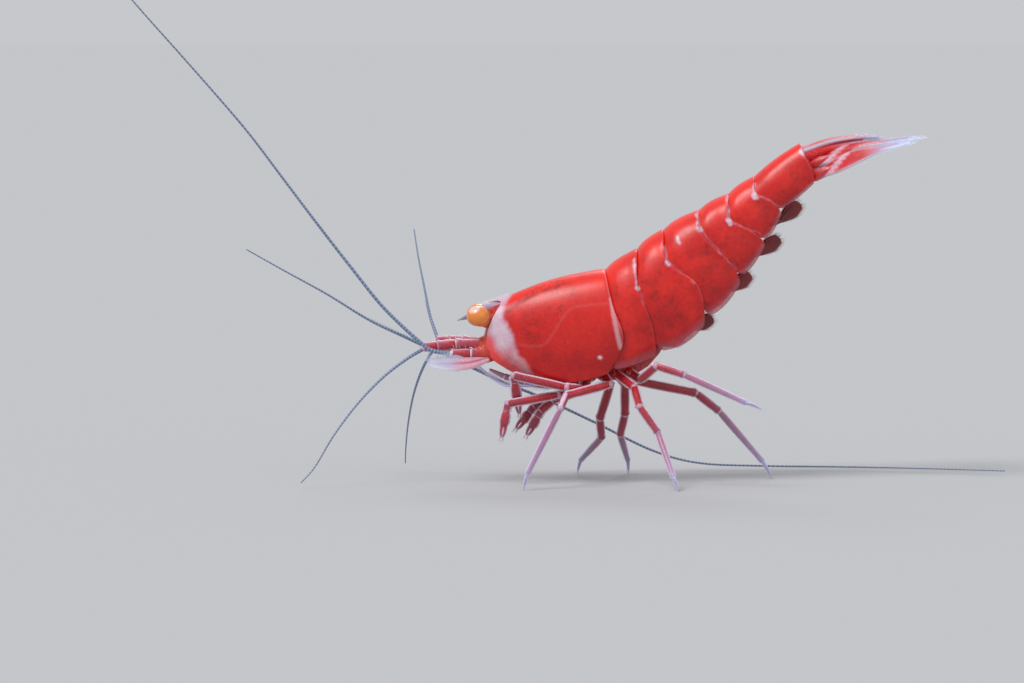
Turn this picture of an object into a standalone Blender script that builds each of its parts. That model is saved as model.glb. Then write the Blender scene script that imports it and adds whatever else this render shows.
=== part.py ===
"""Life-size still model of a red dwarf aquarium shrimp (Caridina), standing on five feet.

The head looks along -X, the animal's left side faces -Y and +Z is up.  All places below are in
millimetres of a 30 mm shrimp, measured from a point on the floor under the last walking legs;
MM turns them to metres, and the whole animal is set on the origin at the end.
"""
import math

import bmesh
import bpy
from mathutils import Vector

# ---------------------------------------------------------------- driving dimensions
BODY_LENGTH = 30.0        # rostrum tip to the tip of the tail fan
DESIGN_LENGTH = 30.0      # the length at which the places below are given
MM = 0.001 * BODY_LENGTH / DESIGN_LENGTH

SEAM = 0.10               # thin cut between two shell segments
TOUCH = 0.04              # gap between a limb and what carries it
PLATE = 0.50              # thickness of the side plates, tail plates and swimmerets
FEELER = 0.26             # radius of a feeler at its tip
FEELER_ROOT = 0.30        # radius of a feeler at its root
EYE_RADIUS = 0.66
EYE_STRETCH = 1.08        # length and height of the cornea, as shares of its width
EYE_HEIGHT = 0.96

WIDEST = 0.58             # depth, from back to belly, at which a body section is widest
LIP = 0.74                # width of the lower edge, as a share of the widest
BACK_STEPS = 6            # rows of a section from the back line down to its widest
SIDE_STEPS = 3            # rows from there down to the lower edge
CHANNEL_ROW = BACK_STEPS + SIDE_STEPS - 1
TUCK = 0.02               # how far a segment's front edge shrinks under the one before it
TUCK_WIDTH = 0.95
BELLY = 0.45              # width of the closed belly of the last segment, as a share
SHARP = math.radians(50)  # edges sharper than this stay crisp

SHELL_RED = (0.62, 0.035, 0.028, 1.0)
DARK_RED = (0.16, 0.008, 0.012, 1.0)
LIMB_RED = (0.42, 0.035, 0.045, 1.0)
PALE_BLUE = (0.42, 0.46, 0.62, 1.0)
ORANGE = (0.90, 0.30, 0.05, 1.0)


# ---------------------------------------------------------------- scene and materials
for old in list(bpy.data.objects):
    bpy.data.objects.remove(old, do_unlink=True)

shrimp = bpy.data.objects.new("shrimp_frame", None)
bpy.context.collection.objects.link(shrimp)


def finish(name, colour, roughness):
    """A Principled material of its own for one node."""
    material = bpy.data.materials.new(name + "_material")
    material.use_nodes = True
    shader = material.node_tree.nodes["Principled BSDF"]
    shader.inputs["Base Color"].default_value = colour
    shader.inputs["Roughness"].default_value = roughness
    shader.inputs["Metallic"].default_value = 0.0
    return material


def add_node(name, bm, colour, roughness=0.35):
    """Turn a bmesh, drawn in millimetres, into a named object carried by the frame empty."""
    bmesh.ops.recalc_face_normals(bm, faces=bm.faces)
    bmesh.ops.scale(bm, vec=(MM, MM, MM), verts=bm.verts)
    mesh = bpy.data.meshes.new(name)
    bm.to_mesh(mesh)
    bm.free()
    mesh.shade_smooth()
    mesh.set_sharp_from_angle(angle=SHARP)
    mesh.materials.append(finish(name, colour, roughness))
    node = bpy.data.objects.new(name, mesh)
    bpy.context.collection.objects.link(node)
    node.parent = shrimp
    return node


# ---------------------------------------------------------------- curves and lofts
def through(points, u):
    """The place at u, from 0 to 1, on a smooth curve through evenly spaced points."""
    last = len(points) - 1
    index = min(int(u * last), last - 1)
    f = u * last - index
    before, here, there, after = (
        Vector(points[min(max(index + step, 0), last)]) for step in (-1, 0, 1, 2))
    return 0.5 * (2.0 * here + (there - before) * f
                  + (2.0 * before - 5.0 * here + 4.0 * there - after) * f * f
                  + (3.0 * here - before - 3.0 * there + after) * f ** 3)


def value_through(values, u):
    return through([(value, 0.0) for value in values], u).x


def add_ring(bm, points):
    """A closed loop of vertices and edges."""
    ring = [bm.verts.new(point) for point in points]
    edges = [bm.edges.new(pair) for pair in zip(ring, ring[1:] + ring[:1])]
    return ring, edges


def bridge(bm, rings):
    for (_, near), (_, far) in zip(rings, rings[1:]):
        bmesh.ops.bridge_loops(bm, edges=near + far)


def loft(rings):
    """A closed body through loops of points, with a flat face on each end."""
    bm = bmesh.new()
    loops = [add_ring(bm, points) for points in rings]
    bridge(bm, loops)
    bm.faces.new(loops[0][0])
    bm.faces.new(loops[-1][0])
    return bm


def slab(corners, thickness):
    """A flat outline pushed out along a vector."""
    bm = bmesh.new()
    face = bm.faces.new([bm.verts.new(corner) for corner in corners])
    extruded = bmesh.ops.extrude_face_region(bm, geom=[face])
    moved = [item for item in extruded["geom"] if isinstance(item, bmesh.types.BMVert)]
    bmesh.ops.translate(bm, verts=moved, vec=thickness)
    return bm


def side_frame(tangent, roll=0.0):
    """Two unit vectors square to a tangent: across, and over, turned by roll."""
    across = tangent.cross(Vector((0.0, 0.0, 1.0)))
    if across.length < 0.05:
        across = Vector((0.0, 1.0, 0.0))
    across.normalize()
    over = across.cross(tangent).normalized()
    return (across * math.cos(roll) + over * math.sin(roll),
            over * math.cos(roll) - across * math.sin(roll))


def oval(centre, across, over, half_width, half_height, sides):
    """A loop of points on an oval."""
    turns = (2.0 * math.pi * (i + 0.5) / sides for i in range(sides))
    return [centre + across * half_width * math.cos(a) + over * half_height * math.sin(a)
            for a in turns]


def tangents(path):
    """The direction of a path at each of its points."""
    result = []
    for i, point in enumerate(path):
        before = point - path[i - 1] if i else path[1] - point
        after = path[i + 1] - point if i + 1 < len(path) else before
        result.append((before.normalized() + after.normalized()).normalized())
    return result


# ---------------------------------------------------------------- the trunk: shell segments
# Each cut is a line in the side view, as (x, z) from the back down to the lower edge.
HEAD_EDGE = [(-8.15, 11.35), (-8.82, 10.45), (-9.30, 9.25), (-9.22, 7.95), (-7.85, 7.00)]
CUT_1 = [(-2.14, 13.05), (-1.70, 11.00), (-1.05, 9.00), (-1.70, 7.05)]
CUT_2 = [(-0.18, 14.28), (-0.20, 12.20), (0.45, 10.50), (1.25, 8.15)]
CUT_3 = [(1.40, 15.46), (1.65, 13.60), (3.40, 12.35), (4.15, 10.25)]
CUT_4 = [(3.58, 16.64), (3.65, 15.40), (5.00, 14.05), (6.25, 12.80)]
CUT_5 = [(5.40, 17.64), (5.35, 16.40), (6.50, 15.65), (7.68, 15.05)]
CUT_6 = [(6.97, 18.70), (7.00, 17.85), (7.85, 17.40), (8.62, 16.85)]
TAIL_EDGE = [(9.78, 20.74), (10.02, 20.05), (10.38, 19.35), (10.78, 18.68)]

SEGMENTS = {
    # front cut, rear cut, half widths along it, swell of back and belly, rings
    "carapace": (HEAD_EDGE, CUT_1, (1.20, 1.85, 2.25, 2.35), 0.27, 0.72, 10),
    "abdomen_1": (CUT_1, CUT_2, (2.28, 2.34, 2.36), 0.10, 0.10, 4),
    "abdomen_2": (CUT_2, CUT_3, (2.32, 2.36, 2.30), 0.12, 0.38, 4),
    "abdomen_3": (CUT_3, CUT_4, (2.24, 2.20, 2.06), 0.14, 0.26, 4),
    "abdomen_4": (CUT_4, CUT_5, (2.00, 1.92, 1.78), 0.12, 0.16, 4),
    "abdomen_5": (CUT_5, CUT_6, (1.72, 1.64, 1.50), 0.10, 0.12, 4),
    "abdomen_6": (CUT_6, TAIL_EDGE, (1.42, 1.30, 1.08), 0.10, 0.06, 4),
}
CLOSED_BELLY = ("abdomen_6",)


def section_rows():
    """Depth and half width of each row of a section, both as shares."""
    rows = []
    for i in range(1, BACK_STEPS + 1):
        turn = 0.5 * math.pi * i / BACK_STEPS
        rows.append((WIDEST * (1.0 - math.cos(turn)), math.sin(turn)))
    for i in range(1, SIDE_STEPS + 1):
        down = i / SIDE_STEPS
        rows.append((WIDEST + (1.0 - WIDEST) * down, 1.0 - (1.0 - LIP) * down * down))
    return rows


ROWS = section_rows()


def on_side(segment, t, s):
    """The (x, z) of a segment at t from front to rear and s from back to lower edge."""
    front, rear, _, back_swell, belly_swell, _ = SEGMENTS[segment]
    along = through(rear, s) - through(front, s)
    run = (Vector(rear[0]) - Vector(front[0])).normalized()
    up = Vector((-run.y, run.x))
    swell = math.sin(math.pi * t)
    return (through(front, s) + along * t
            + up * swell * (back_swell * (1.0 - s) ** 2 - belly_swell * s ** 2))


def half_width(segment, t):
    return value_through(SEGMENTS[segment][2], t)


def inner_half(segment, t):
    """Half width of the channel under the body, between its side plates."""
    return LIP * half_width(segment, t) - PLATE


def section(segment, t, closed):
    """One loop of points round the body: down its right side, along the channel and back up."""
    is_front = t == 0.0 and segment != "carapace"
    squeeze = TUCK if is_front else 0.0
    width = half_width(segment, t) * (TUCK_WIDTH if is_front else 1.0)
    run = (Vector(SEGMENTS[segment][1][0]) - Vector(SEGMENTS[segment][0][0])).normalized()
    seam = 0.0 if segment == "carapace" else SEAM
    slide = run * seam * (1.0 - t)

    def place(s, y):
        point = on_side(segment, t, squeeze + (1.0 - 2.0 * squeeze) * s) + slide
        return Vector((point.x, y, point.y))

    right = [place(s, share * width) for s, share in ROWS]
    if closed:
        right[-1].y = BELLY * width
    else:
        inner = inner_half(segment, t)
        right += [place(ROWS[-1][0], inner), place(ROWS[CHANNEL_ROW - 1][0], inner)]
    left = [Vector((p.x, -p.y, p.z)) for p in reversed(right)]
    return [place(0.0, 0.0)] + right + left


def cap_body(bm, ring, closed):
    """Close an end with faces that run straight across from left to right."""
    count = len(ring)
    pairs = [(ring[i], ring[count - i]) for i in range(1, len(ROWS) + 1)]
    bm.faces.new((ring[0], pairs[0][0], pairs[0][1]))
    whole = len(pairs) if closed else CHANNEL_ROW - 1
    for (right, left), (right_below, left_below) in zip(pairs[:whole], pairs[1:whole]):
        bm.faces.new((right, right_below, left_below, left))
    if not closed:
        last = len(ROWS)
        lip_right, corner_right = ring[last + 1], ring[last + 2]
        lip_left, corner_left = ring[count - last - 1], ring[count - last - 2]
        above, channel, lip = pairs[whole - 1], pairs[whole], pairs[whole + 1]
        bm.faces.new((above[0], channel[0], corner_right, corner_left, channel[1], above[1]))
        bm.faces.new((channel[0], lip[0], lip_right, corner_right))
        bm.faces.new((channel[1], lip[1], lip_left, corner_left))


def make_trunk():
    for name, (_, _, _, _, _, rings) in SEGMENTS.items():
        closed = name in CLOSED_BELLY
        bm = bmesh.new()
        loops = [add_ring(bm, section(name, i / rings, closed)) for i in range(rings + 1)]
        bridge(bm, loops)
        cap_body(bm, loops[0][0], closed)
        cap_body(bm, loops[-1][0], closed)
        add_node(name, bm, SHELL_RED)


# ---------------------------------------------------------------- the underside
STERNUM_TAPER = 0.9       # width of its lower face, as a share of the upper one
# x, top, bottom and half width of the plate that carries the legs
STERNUM = [(-5.9, 6.93, 6.70, 0.50), (-4.4, 6.97, 6.55, 0.75), (-2.8, 7.22, 6.50, 0.88),
           (-1.5, 7.60, 6.62, 0.88), (-0.4, 8.12, 6.72, 0.85), (0.1, 8.35, 7.05, 0.70)]
# x, z, half width and half height of the folded jaws
MOUTHPARTS = [(-8.2, 7.12, 0.16, 0.10), (-7.5, 6.95, 0.36, 0.20), (-6.4, 6.85, 0.36, 0.14)]


def floor_of_sternum(x):
    """Height of the sternum's lower face at x."""
    for near, far in zip(STERNUM, STERNUM[1:]):
        if x <= far[0]:
            share = (x - near[0]) / (far[0] - near[0])
            return near[2] + (far[2] - near[2]) * share
    return STERNUM[-1][2]


def make_underside():
    rings = [[Vector((x, y, z)) for y, z in
              ((-half, top), (half, top), (STERNUM_TAPER * half, low),
               (-STERNUM_TAPER * half, low))]
             for x, top, low, half in STERNUM]
    add_node("sternum", loft(rings), DARK_RED)
    rings = [oval(Vector((x, 0.0, z)), Vector((0, 1, 0)), Vector((0, 0, 1)), wide, high, 8)
             for x, z, wide, high in MOUTHPARTS]
    add_node("mouthparts", loft(rings), DARK_RED)


# ---------------------------------------------------------------- limbs
LIMB_SIDES = 7
KNUCKLE = 1.12            # how much a joint stands out from its segments
KNUCKLE_REACH = 0.30      # distance from a joint to the ends of its knuckle
KNUCKLE_BEND = 0.10       # how far a knuckle leans into its own bend
NECK = 0.96               # how much a segment narrows just past its joint


def limb_stations(joints, radii):
    """Places and radii along a jointed limb, with a knuckle at every joint between segments."""
    stations = [(joints[0], radii[0])]
    for i in range(1, len(joints) - 1):
        before = (joints[i - 1] - joints[i]).normalized()
        after = (joints[i + 1] - joints[i]).normalized()
        stations.append((joints[i] + before * KNUCKLE_REACH, radii[i]))
        bend = (before + after) * KNUCKLE_BEND
        stations.append((joints[i] + bend, radii[i] * KNUCKLE))
        stations.append((joints[i] + after * KNUCKLE_REACH, radii[i] * NECK))
    stations.append((joints[-1], radii[-1]))
    return stations


def limb(name, joints, radii, on_floor=False, level_start=True):
    """A jointed limb: one closed tube, cut level where it meets the body and the floor."""
    joints = [Vector(joint) for joint in joints]
    stations = limb_stations(joints, radii)
    path = [place for place, _ in stations]
    rings = []
    for i, ((place, radius), tangent) in enumerate(zip(stations, tangents(path))):
        level = (i == 0 and level_start) or (on_floor and i == len(stations) - 1)
        if level:
            tangent = Vector((0.0, 0.0, -1.0))
        across, over = side_frame(tangent)
        rings.append(oval(place, across, over, radius, radius, LIMB_SIDES))
    add_node(name, loft(rings), LIMB_RED)


# Half the outline of a pincer, from the wrist to the root of the slot between its fingers:
# place along its length as a share, then the distance from its middle line.
CLAW_OUTLINE = [(0.0, 0.20), (0.22, 0.36), (0.50, 0.38), (0.85, 0.27), (1.0, 0.12),
                (0.98, 0.05), (0.52, 0.04)]


def claw(name, wrist, tip):
    """A small pincer: a palm and two fingers with a slot between them."""
    wrist, tip = Vector(wrist), Vector(tip)
    along = tip - wrist
    length = along.length
    along.normalize()
    out = Vector((0.0, 1.0, 0.0))
    deep = along.cross(out).normalized()
    profile = CLAW_OUTLINE + [(share, -offset) for share, offset in reversed(CLAW_OUTLINE)]
    start = wrist - out * 0.5 * PLATE
    corners = [start + along * length * share + deep * offset for share, offset in profile]
    add_node(name, slab(corners, out * PLATE), LIMB_RED)


COXA_Y = 0.62
COXA_X = {"maxilliped": -4.70, "leg_1": -3.75, "leg_2": -3.00, "leg_3": -2.25,
          "leg_4": -1.50, "leg_5": -0.66}
LEG_RADII = (0.30, 0.31, 0.31, 0.29, 0.27, 0.25)

# Joints after the coxa as (x, y, z), y counted outwards from the middle plane.
LEGS = {
    ("leg_1", "left"): [(-4.15, 0.80, 5.85), (-4.95, 1.35, 5.54), (-8.07, 1.80, 5.02)],
    ("leg_1", "right"): [(-4.10, 0.55, 5.60), (-5.32, 0.58, 5.05), (-6.02, 0.64, 4.42)],
    ("leg_2", "left"): [(-3.50, 1.30, 5.90), (-4.50, 1.98, 6.02), (-7.70, 2.00, 6.74)],
    ("leg_2", "right"): [(-3.45, 1.20, 5.85), (-4.95, 1.55, 5.30), (-6.45, 1.60, 4.60)],
    ("leg_3", "left"): [(-1.85, 1.30, 6.18), (-4.52, 2.40, 5.56), (-4.89, 4.05, 4.88),
                        (-6.90, 4.75, 0.95), (-7.12, 4.80, 0.0)],
    ("leg_3", "right"): [(-1.76, 1.35, 5.95), (-2.38, 2.70, 3.80), (-2.25, 3.90, 2.50),
                         (-3.50, 6.90, 0.85), (-3.70, 7.25, 0.0)],
    ("leg_4", "left"): [(-0.38, 1.90, 6.02), (-0.08, 3.10, 4.95), (1.01, 3.50, 3.42),
                        (1.92, 5.40, 0.80), (2.20, 5.60, 0.0)],
    ("leg_4", "right"): [(-0.86, 1.50, 6.00), (-0.82, 2.75, 4.05), (-1.10, 3.80, 2.70),
                         (-0.55, 6.70, 0.85), (-0.50, 7.05, 0.0)],
    ("leg_5", "left"): [(0.00, 1.05, 6.42), (0.92, 3.60, 7.45), (2.57, 4.10, 6.95),
                        (6.30, 4.60, 5.28), (7.25, 4.70, 4.88)],
    ("leg_5", "right"): [(-0.25, 1.00, 6.22), (3.50, 1.95, 5.42), (4.94, 2.35, 4.28),
                         (7.68, 3.00, 1.10), (8.30, 3.10, 0.0)],
}
CLAW_TIPS = {("leg_1", "left"): (-8.43, 1.80, 2.95), ("leg_1", "right"): (-6.90, 0.78, 2.87),
             ("leg_2", "left"): (-7.35, 0.60, 4.30), ("leg_2", "right"): (-7.55, 1.60, 3.20)}
IN_THE_AIR = [("leg_5", "left")]
# The first joint of a maxilliped after its root, and those that follow it.
MAXILLIPED = [(-5.40, 0.60, 6.02), (-7.00, 0.50, 6.20), (-8.25, 0.44, 6.55), (-9.15, 0.42, 6.98)]
MAXILLIPED_RADII = (0.28, 0.28, 0.26, 0.25, 0.25)
WRIST = 0.40              # length of the arm past its last joint, towards the claw


def outward(point, side):
    sign = -1.0 if side == "left" else 1.0
    return Vector((point[0], sign * point[1], point[2]))


def root_of(limb_name, side):
    """Where a limb meets the sternum."""
    x = COXA_X[limb_name]
    return outward((x, COXA_Y, floor_of_sternum(x) - TOUCH), side)


def make_legs():
    for (leg, side), places in LEGS.items():
        joints = [root_of(leg, side)] + [outward(place, side) for place in places]
        if (leg, side) in CLAW_TIPS:
            tip = outward(CLAW_TIPS[(leg, side)], side)
            reach = (tip - joints[-1]).normalized()
            joints.append(joints[-1] + reach * WRIST)
            claw(leg.replace("leg", "claw") + "_" + side, joints[-1] + reach * TOUCH, tip)
        feet_down = (leg, side) not in CLAW_TIPS and (leg, side) not in IN_THE_AIR
        limb(f"{leg}_{side}", joints, LEG_RADII[:len(joints)], on_floor=feet_down)
    for side in ("left", "right"):
        joints = [root_of("maxilliped", side)] + [outward(place, side) for place in MAXILLIPED]
        limb(f"maxilliped_{side}", joints, MAXILLIPED_RADII)


# ---------------------------------------------------------------- blades: scale, tail, swimmerets
BLADE_SIDES = 8


def blade(name, path, widths, roll, colour, thickness=PLATE, steps=6):
    """A thin plate along a smooth path, rounded at its edges and rolled about its length."""
    centres = [through(path, i / steps) for i in range(steps + 1)]
    rings = []
    for i, (centre, tangent) in enumerate(zip(centres, tangents(centres))):
        across, over = side_frame(tangent, roll)
        rings.append(oval(centre, across, over, 0.5 * value_through(widths, i / steps),
                          0.5 * thickness, BLADE_SIDES))
    add_node(name, loft(rings), colour)


TELSON_PATH = [(9.98, 0.0, 20.42), (11.4, 0.0, 20.75), (12.9, 0.0, 21.08), (14.5, 0.0, 21.18)]
TELSON_WIDTHS = (1.50, 1.38, 1.05, 0.55)
TELSON_THICKNESS = 0.55
# Path with y counted outwards, widths along it and roll in degrees of each side plate.
TAIL_PLATES = {
    "uropod_inner": ([(10.72, 0.42, 19.60), (12.6, 1.08, 20.42), (15.0, 1.15, 20.92),
                      (17.15, 0.85, 21.20)], (0.50, 1.20, 1.42, 0.60), 20.0),
    "uropod_outer": ([(10.92, 0.80, 18.95), (12.6, 2.18, 19.85), (14.5, 2.78, 20.55),
                      (16.3, 2.60, 20.95)], (0.50, 1.30, 1.55, 0.75), 32.0),
}


def make_tail():
    blade("telson", TELSON_PATH, TELSON_WIDTHS, 0.0, SHELL_RED, TELSON_THICKNESS)
    for plate, (path, widths, roll) in TAIL_PLATES.items():
        for side, sign in (("left", -1.0), ("right", 1.0)):
            places = [outward(place, side) for place in path]
            blade(f"{plate}_{side}", places, widths, sign * math.radians(roll), SHELL_RED)


# Place of each swimmeret's root along its segment, and how far its tip hangs below the channel.
SWIMMERETS = {1: (0.8, 0.40), 2: (0.4, 0.45), 3: (0.4, 0.50), 4: (0.4, 0.75), 5: (0.4, 0.80)}
SWIMMERET_LENGTH = 1.75
SWIMMERET_FILL = 0.80     # width of a paddle, as a share of its half of the channel
SWIMMERET_ENDS = 0.70     # width of its ends, as a share of its own


def make_swimmerets():
    """Five pairs of paddles in the channel under the abdomen, folded back."""
    depth = ROWS[CHANNEL_ROW - 1][0]
    for number, (t, hang) in SWIMMERETS.items():
        segment = f"abdomen_{number}"
        run = (on_side(segment, 1.0, depth) - on_side(segment, 0.0, depth)).normalized()
        down = Vector((run.y, -run.x))
        root = on_side(segment, t, depth) + down * (0.5 * PLATE + 2.0 * TOUCH)
        room = inner_half(segment, t)
        wide = SWIMMERET_FILL * room
        middle = root + (run * SWIMMERET_LENGTH + down * hang) * 0.40
        tip = root + run * SWIMMERET_LENGTH + down * hang
        widths = (SWIMMERET_ENDS * wide, wide, SWIMMERET_ENDS * wide)
        for side in ("left", "right"):
            path = [outward((p.x, 0.5 * room, p.y), side) for p in (root, middle, tip)]
            blade(f"swimmeret_{number}_{side}", path, widths, 0.0, DARK_RED, steps=3)


# ---------------------------------------------------------------- the head
ROSTRUM_BACK = [(-8.24, 11.42), (-9.40, 11.00), (-11.0, 10.06)]
ROSTRUM_KEEL = [(-11.0, 9.98), (-9.85, 10.16), (-8.92, 10.58)]
ROSTRUM_TEETH = 8
TOOTH_HEIGHT = 0.12
TOOTH_LEAN = 0.6          # how far a tooth leans forward, as a share of its height
TOOTHED_SHARE = 0.55      # share of the upper edge that carries teeth
# Places on one side, y counted outwards from the middle plane.
EYE_CENTRE = (-9.87, 1.20, 10.33)
STALK_ROOT = (-9.27, 0.62, 9.98)
STALK_SIZE = (0.34, 0.36)  # half width and half height of an eye stalk at its two ends
STALK_START = 0.40        # share of the way from the root at which the stalk clears the shell
STALK_SWELL = 1.08        # size of its middle, as a share of its ends


def make_rostrum():
    """A thin blade between the eyes with a row of teeth along its upper edge."""
    outline = []
    for i in range(2 * ROSTRUM_TEETH + 1):
        share = TOOTHED_SHARE * i / (2 * ROSTRUM_TEETH)
        point = through(ROSTRUM_BACK, share)
        lift = TOOTH_HEIGHT if i % 2 else 0.0
        outline.append((point.x - TOOTH_LEAN * lift, point.y + lift))
    outline.append(tuple(through(ROSTRUM_BACK, 0.5 * (1.0 + TOOTHED_SHARE))))
    outline.append(ROSTRUM_BACK[-1])
    outline += ROSTRUM_KEEL
    corners = [Vector((x, -0.5 * PLATE, z)) for x, z in outline]
    add_node("rostrum", slab(corners, Vector((0.0, PLATE, 0.0))), PALE_BLUE)


def make_eyes():
    for side in ("left", "right"):
        centre = outward(EYE_CENTRE, side)
        root = outward(STALK_ROOT, side)
        outward_axis = (centre - root).normalized()
        bm = bmesh.new()
        bmesh.ops.create_uvsphere(bm, u_segments=14, v_segments=9, radius=EYE_RADIUS)
        bmesh.ops.scale(bm, vec=(EYE_STRETCH, 1.0, EYE_HEIGHT), verts=bm.verts)
        bmesh.ops.translate(bm, verts=bm.verts, vec=centre)
        add_node(f"eye_{side}", bm, ORANGE, roughness=0.15)
        across = (Vector((0, 1, 0)) - outward_axis * outward_axis.y).normalized()
        over = across.cross(outward_axis)
        end = centre - outward_axis * (EYE_RADIUS * EYE_STRETCH + TOUCH)
        start = root.lerp(end, STALK_START)
        rings = [oval(place, across, over, *(size * half for half in STALK_SIZE), BLADE_SIDES)
                 for place, size in ((start, 1.0), (start.lerp(end, 0.5), STALK_SWELL), (end, 1.0))]
        add_node(f"eyestalk_{side}", loft(rings), LIMB_RED)


# Places of the first feelers' stems and of all feelers, as (x, y, z) with the side's own sign.
STEMS = {
    "left": [(-9.62, -0.46, 8.50), (-11.20, -0.50, 8.55), (-12.30, -0.52, 8.45),
             (-13.15, -0.55, 8.40)],
    "right": [(-9.74, 0.50, 8.55), (-10.75, 0.92, 8.66), (-11.60, 1.40, 8.66),
              (-12.35, 1.85, 8.62)],
}
FEELERS = {
    "feeler_outer_left": [(-13.42, -0.58, 8.72), (-14.30, -0.85, 9.02), (-16.50, -1.60, 10.12),
                          (-19.00, -2.50, 11.72), (-21.40, -3.30, 13.10), (-23.80, -4.00, 14.50)],
    "feeler_inner_left": [(-13.45, -0.62, 8.08), (-14.25, -0.85, 7.66), (-15.70, -1.35, 6.55),
                          (-17.20, -1.90, 5.00), (-18.60, -2.45, 3.15), (-19.75, -2.90, 1.25),
                          (-20.60, -3.20, 0.30)],
    "feeler_outer_right": [(-12.58, 2.05, 8.95), (-12.85, 2.90, 10.10), (-13.25, 4.60, 11.85),
                           (-13.65, 6.60, 13.60), (-13.95, 8.60, 15.25)],
    "feeler_inner_right": [(-12.62, 2.15, 8.30), (-13.20, 2.90, 7.10), (-13.85, 4.20, 5.35),
                           (-14.25, 5.70, 3.40), (-14.45, 7.10, 1.60), (-14.50, 8.00, 0.55)],
    "antenna_left": [(-11.50, -1.22, 8.02), (-12.50, -1.26, 8.18), (-13.30, -1.34, 8.66),
                     (-15.58, -1.70, 10.84), (-17.60, -2.05, 13.38), (-19.61, -2.40, 16.01),
                     (-21.65, -2.80, 18.76), (-23.67, -3.20, 21.47), (-25.70, -3.65, 23.90),
                     (-27.72, -4.10, 26.23), (-29.76, -4.60, 28.56), (-31.77, -5.10, 30.92),
                     (-33.60, -5.60, 33.10)],
    "antenna_right": [(-11.05, 1.42, 7.86), (-11.90, 1.95, 7.95), (-11.70, 2.80, 7.60),
                      (-10.10, 3.50, 6.80), (-8.20, 4.30, 5.85), (-6.00, 5.30, 4.90),
                      (-2.60, 6.90, 3.20), (1.00, 8.20, 1.35), (4.00, 8.80, 0.50),
                      (8.00, 9.00, 0.30), (13.00, 8.60, 0.27), (18.00, 7.40, 0.27),
                      (23.00, 5.60, 0.27)],
}
FEELER_STEPS = {"antenna_left": 26, "antenna_right": 34}
SHORT_FEELER_STEPS = 12
STEM_RADII = (0.38, 0.37, 0.35, 0.34)
BASE_RADII = (0.30, 0.31, 0.27)
ANTENNA_BASES = {
    "left": [(-9.45, -1.02, 7.90), (-10.30, -1.14, 7.98), (-11.42, -1.20, 8.02)],
    "right": [(-9.45, 1.02, 7.90), (-10.20, 1.16, 7.92), (-10.98, 1.36, 7.82)],
}
SCALE_WIDTHS = (0.60, 0.95, 1.00, 0.55)
SCALE_ROLL = math.radians(50)
SCALES = {
    "left": [(-9.50, -1.58, 7.46), (-10.4, -1.90, 7.42), (-11.6, -1.98, 7.36),
             (-12.9, -1.78, 7.46)],
    "right": [(-9.50, 1.58, 7.40), (-10.3, 1.90, 7.32), (-11.3, 2.02, 7.20),
              (-12.4, 1.92, 7.22)],
}


def feeler(name):
    """A feeler as a tapering round rod along a smooth path."""
    steps = FEELER_STEPS.get(name, SHORT_FEELER_STEPS)
    curve = bpy.data.curves.new(name, "CURVE")
    curve.dimensions = "3D"
    curve.bevel_depth = MM
    curve.bevel_resolution = 1
    curve.use_fill_caps = True
    spline = curve.splines.new("POLY")
    spline.points.add(steps)
    for i, point in enumerate(spline.points):
        place = through(FEELERS[name], i / steps) * MM
        point.co = (place.x, place.y, place.z, 1.0)
        point.radius = FEELER_ROOT + (FEELER - FEELER_ROOT) * i / steps
    curve.materials.append(finish(name, PALE_BLUE, 0.4))
    node = bpy.data.objects.new(name, curve)
    bpy.context.collection.objects.link(node)
    node.parent = shrimp


def make_head():
    make_rostrum()
    make_eyes()
    for side in ("left", "right"):
        sign = -1.0 if side == "left" else 1.0
        limb(f"feeler_stem_{side}", STEMS[side], STEM_RADII, level_start=False)
        limb(f"antenna_base_{side}", ANTENNA_BASES[side], BASE_RADII, level_start=False)
        blade(f"antenna_scale_{side}", SCALES[side], SCALE_WIDTHS, -sign * SCALE_ROLL,
              PALE_BLUE, steps=5)
    for name in FEELERS:
        feeler(name)


# ---------------------------------------------------------------- build and centre
make_trunk()
make_underside()
make_legs()
make_swimmerets()
make_tail()
make_head()

bpy.context.view_layer.update()
graph = bpy.context.evaluated_depsgraph_get()
corners = []
for node in shrimp.children:
    mesh = node.evaluated_get(graph).to_mesh()
    corners += [node.matrix_world @ vertex.co for vertex in mesh.vertices]
low = Vector([min(corner[axis] for corner in corners) for axis in range(3)])
high = Vector([max(corner[axis] for corner in corners) for axis in range(3)])
shrimp.location = (-0.5 * (low.x + high.x), -0.5 * (low.y + high.y), -low.z)
bpy.context.view_layer.update()
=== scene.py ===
# %% [markdown]
# # A red dwarf shrimp, dressed
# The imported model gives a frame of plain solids.  This lesson puts the real animal's surfaces
# round it: shell plates that overlap like roof tiles, limbs of jointed tubes, thin tail plates
# and thousands of fine bristles.  Everything is drawn in millimetres and set into the frame
# once.

# %% Load the frame
import itertools
import math
import random

import bmesh
import bpy
from mathutils import Matrix, Vector, noise


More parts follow.
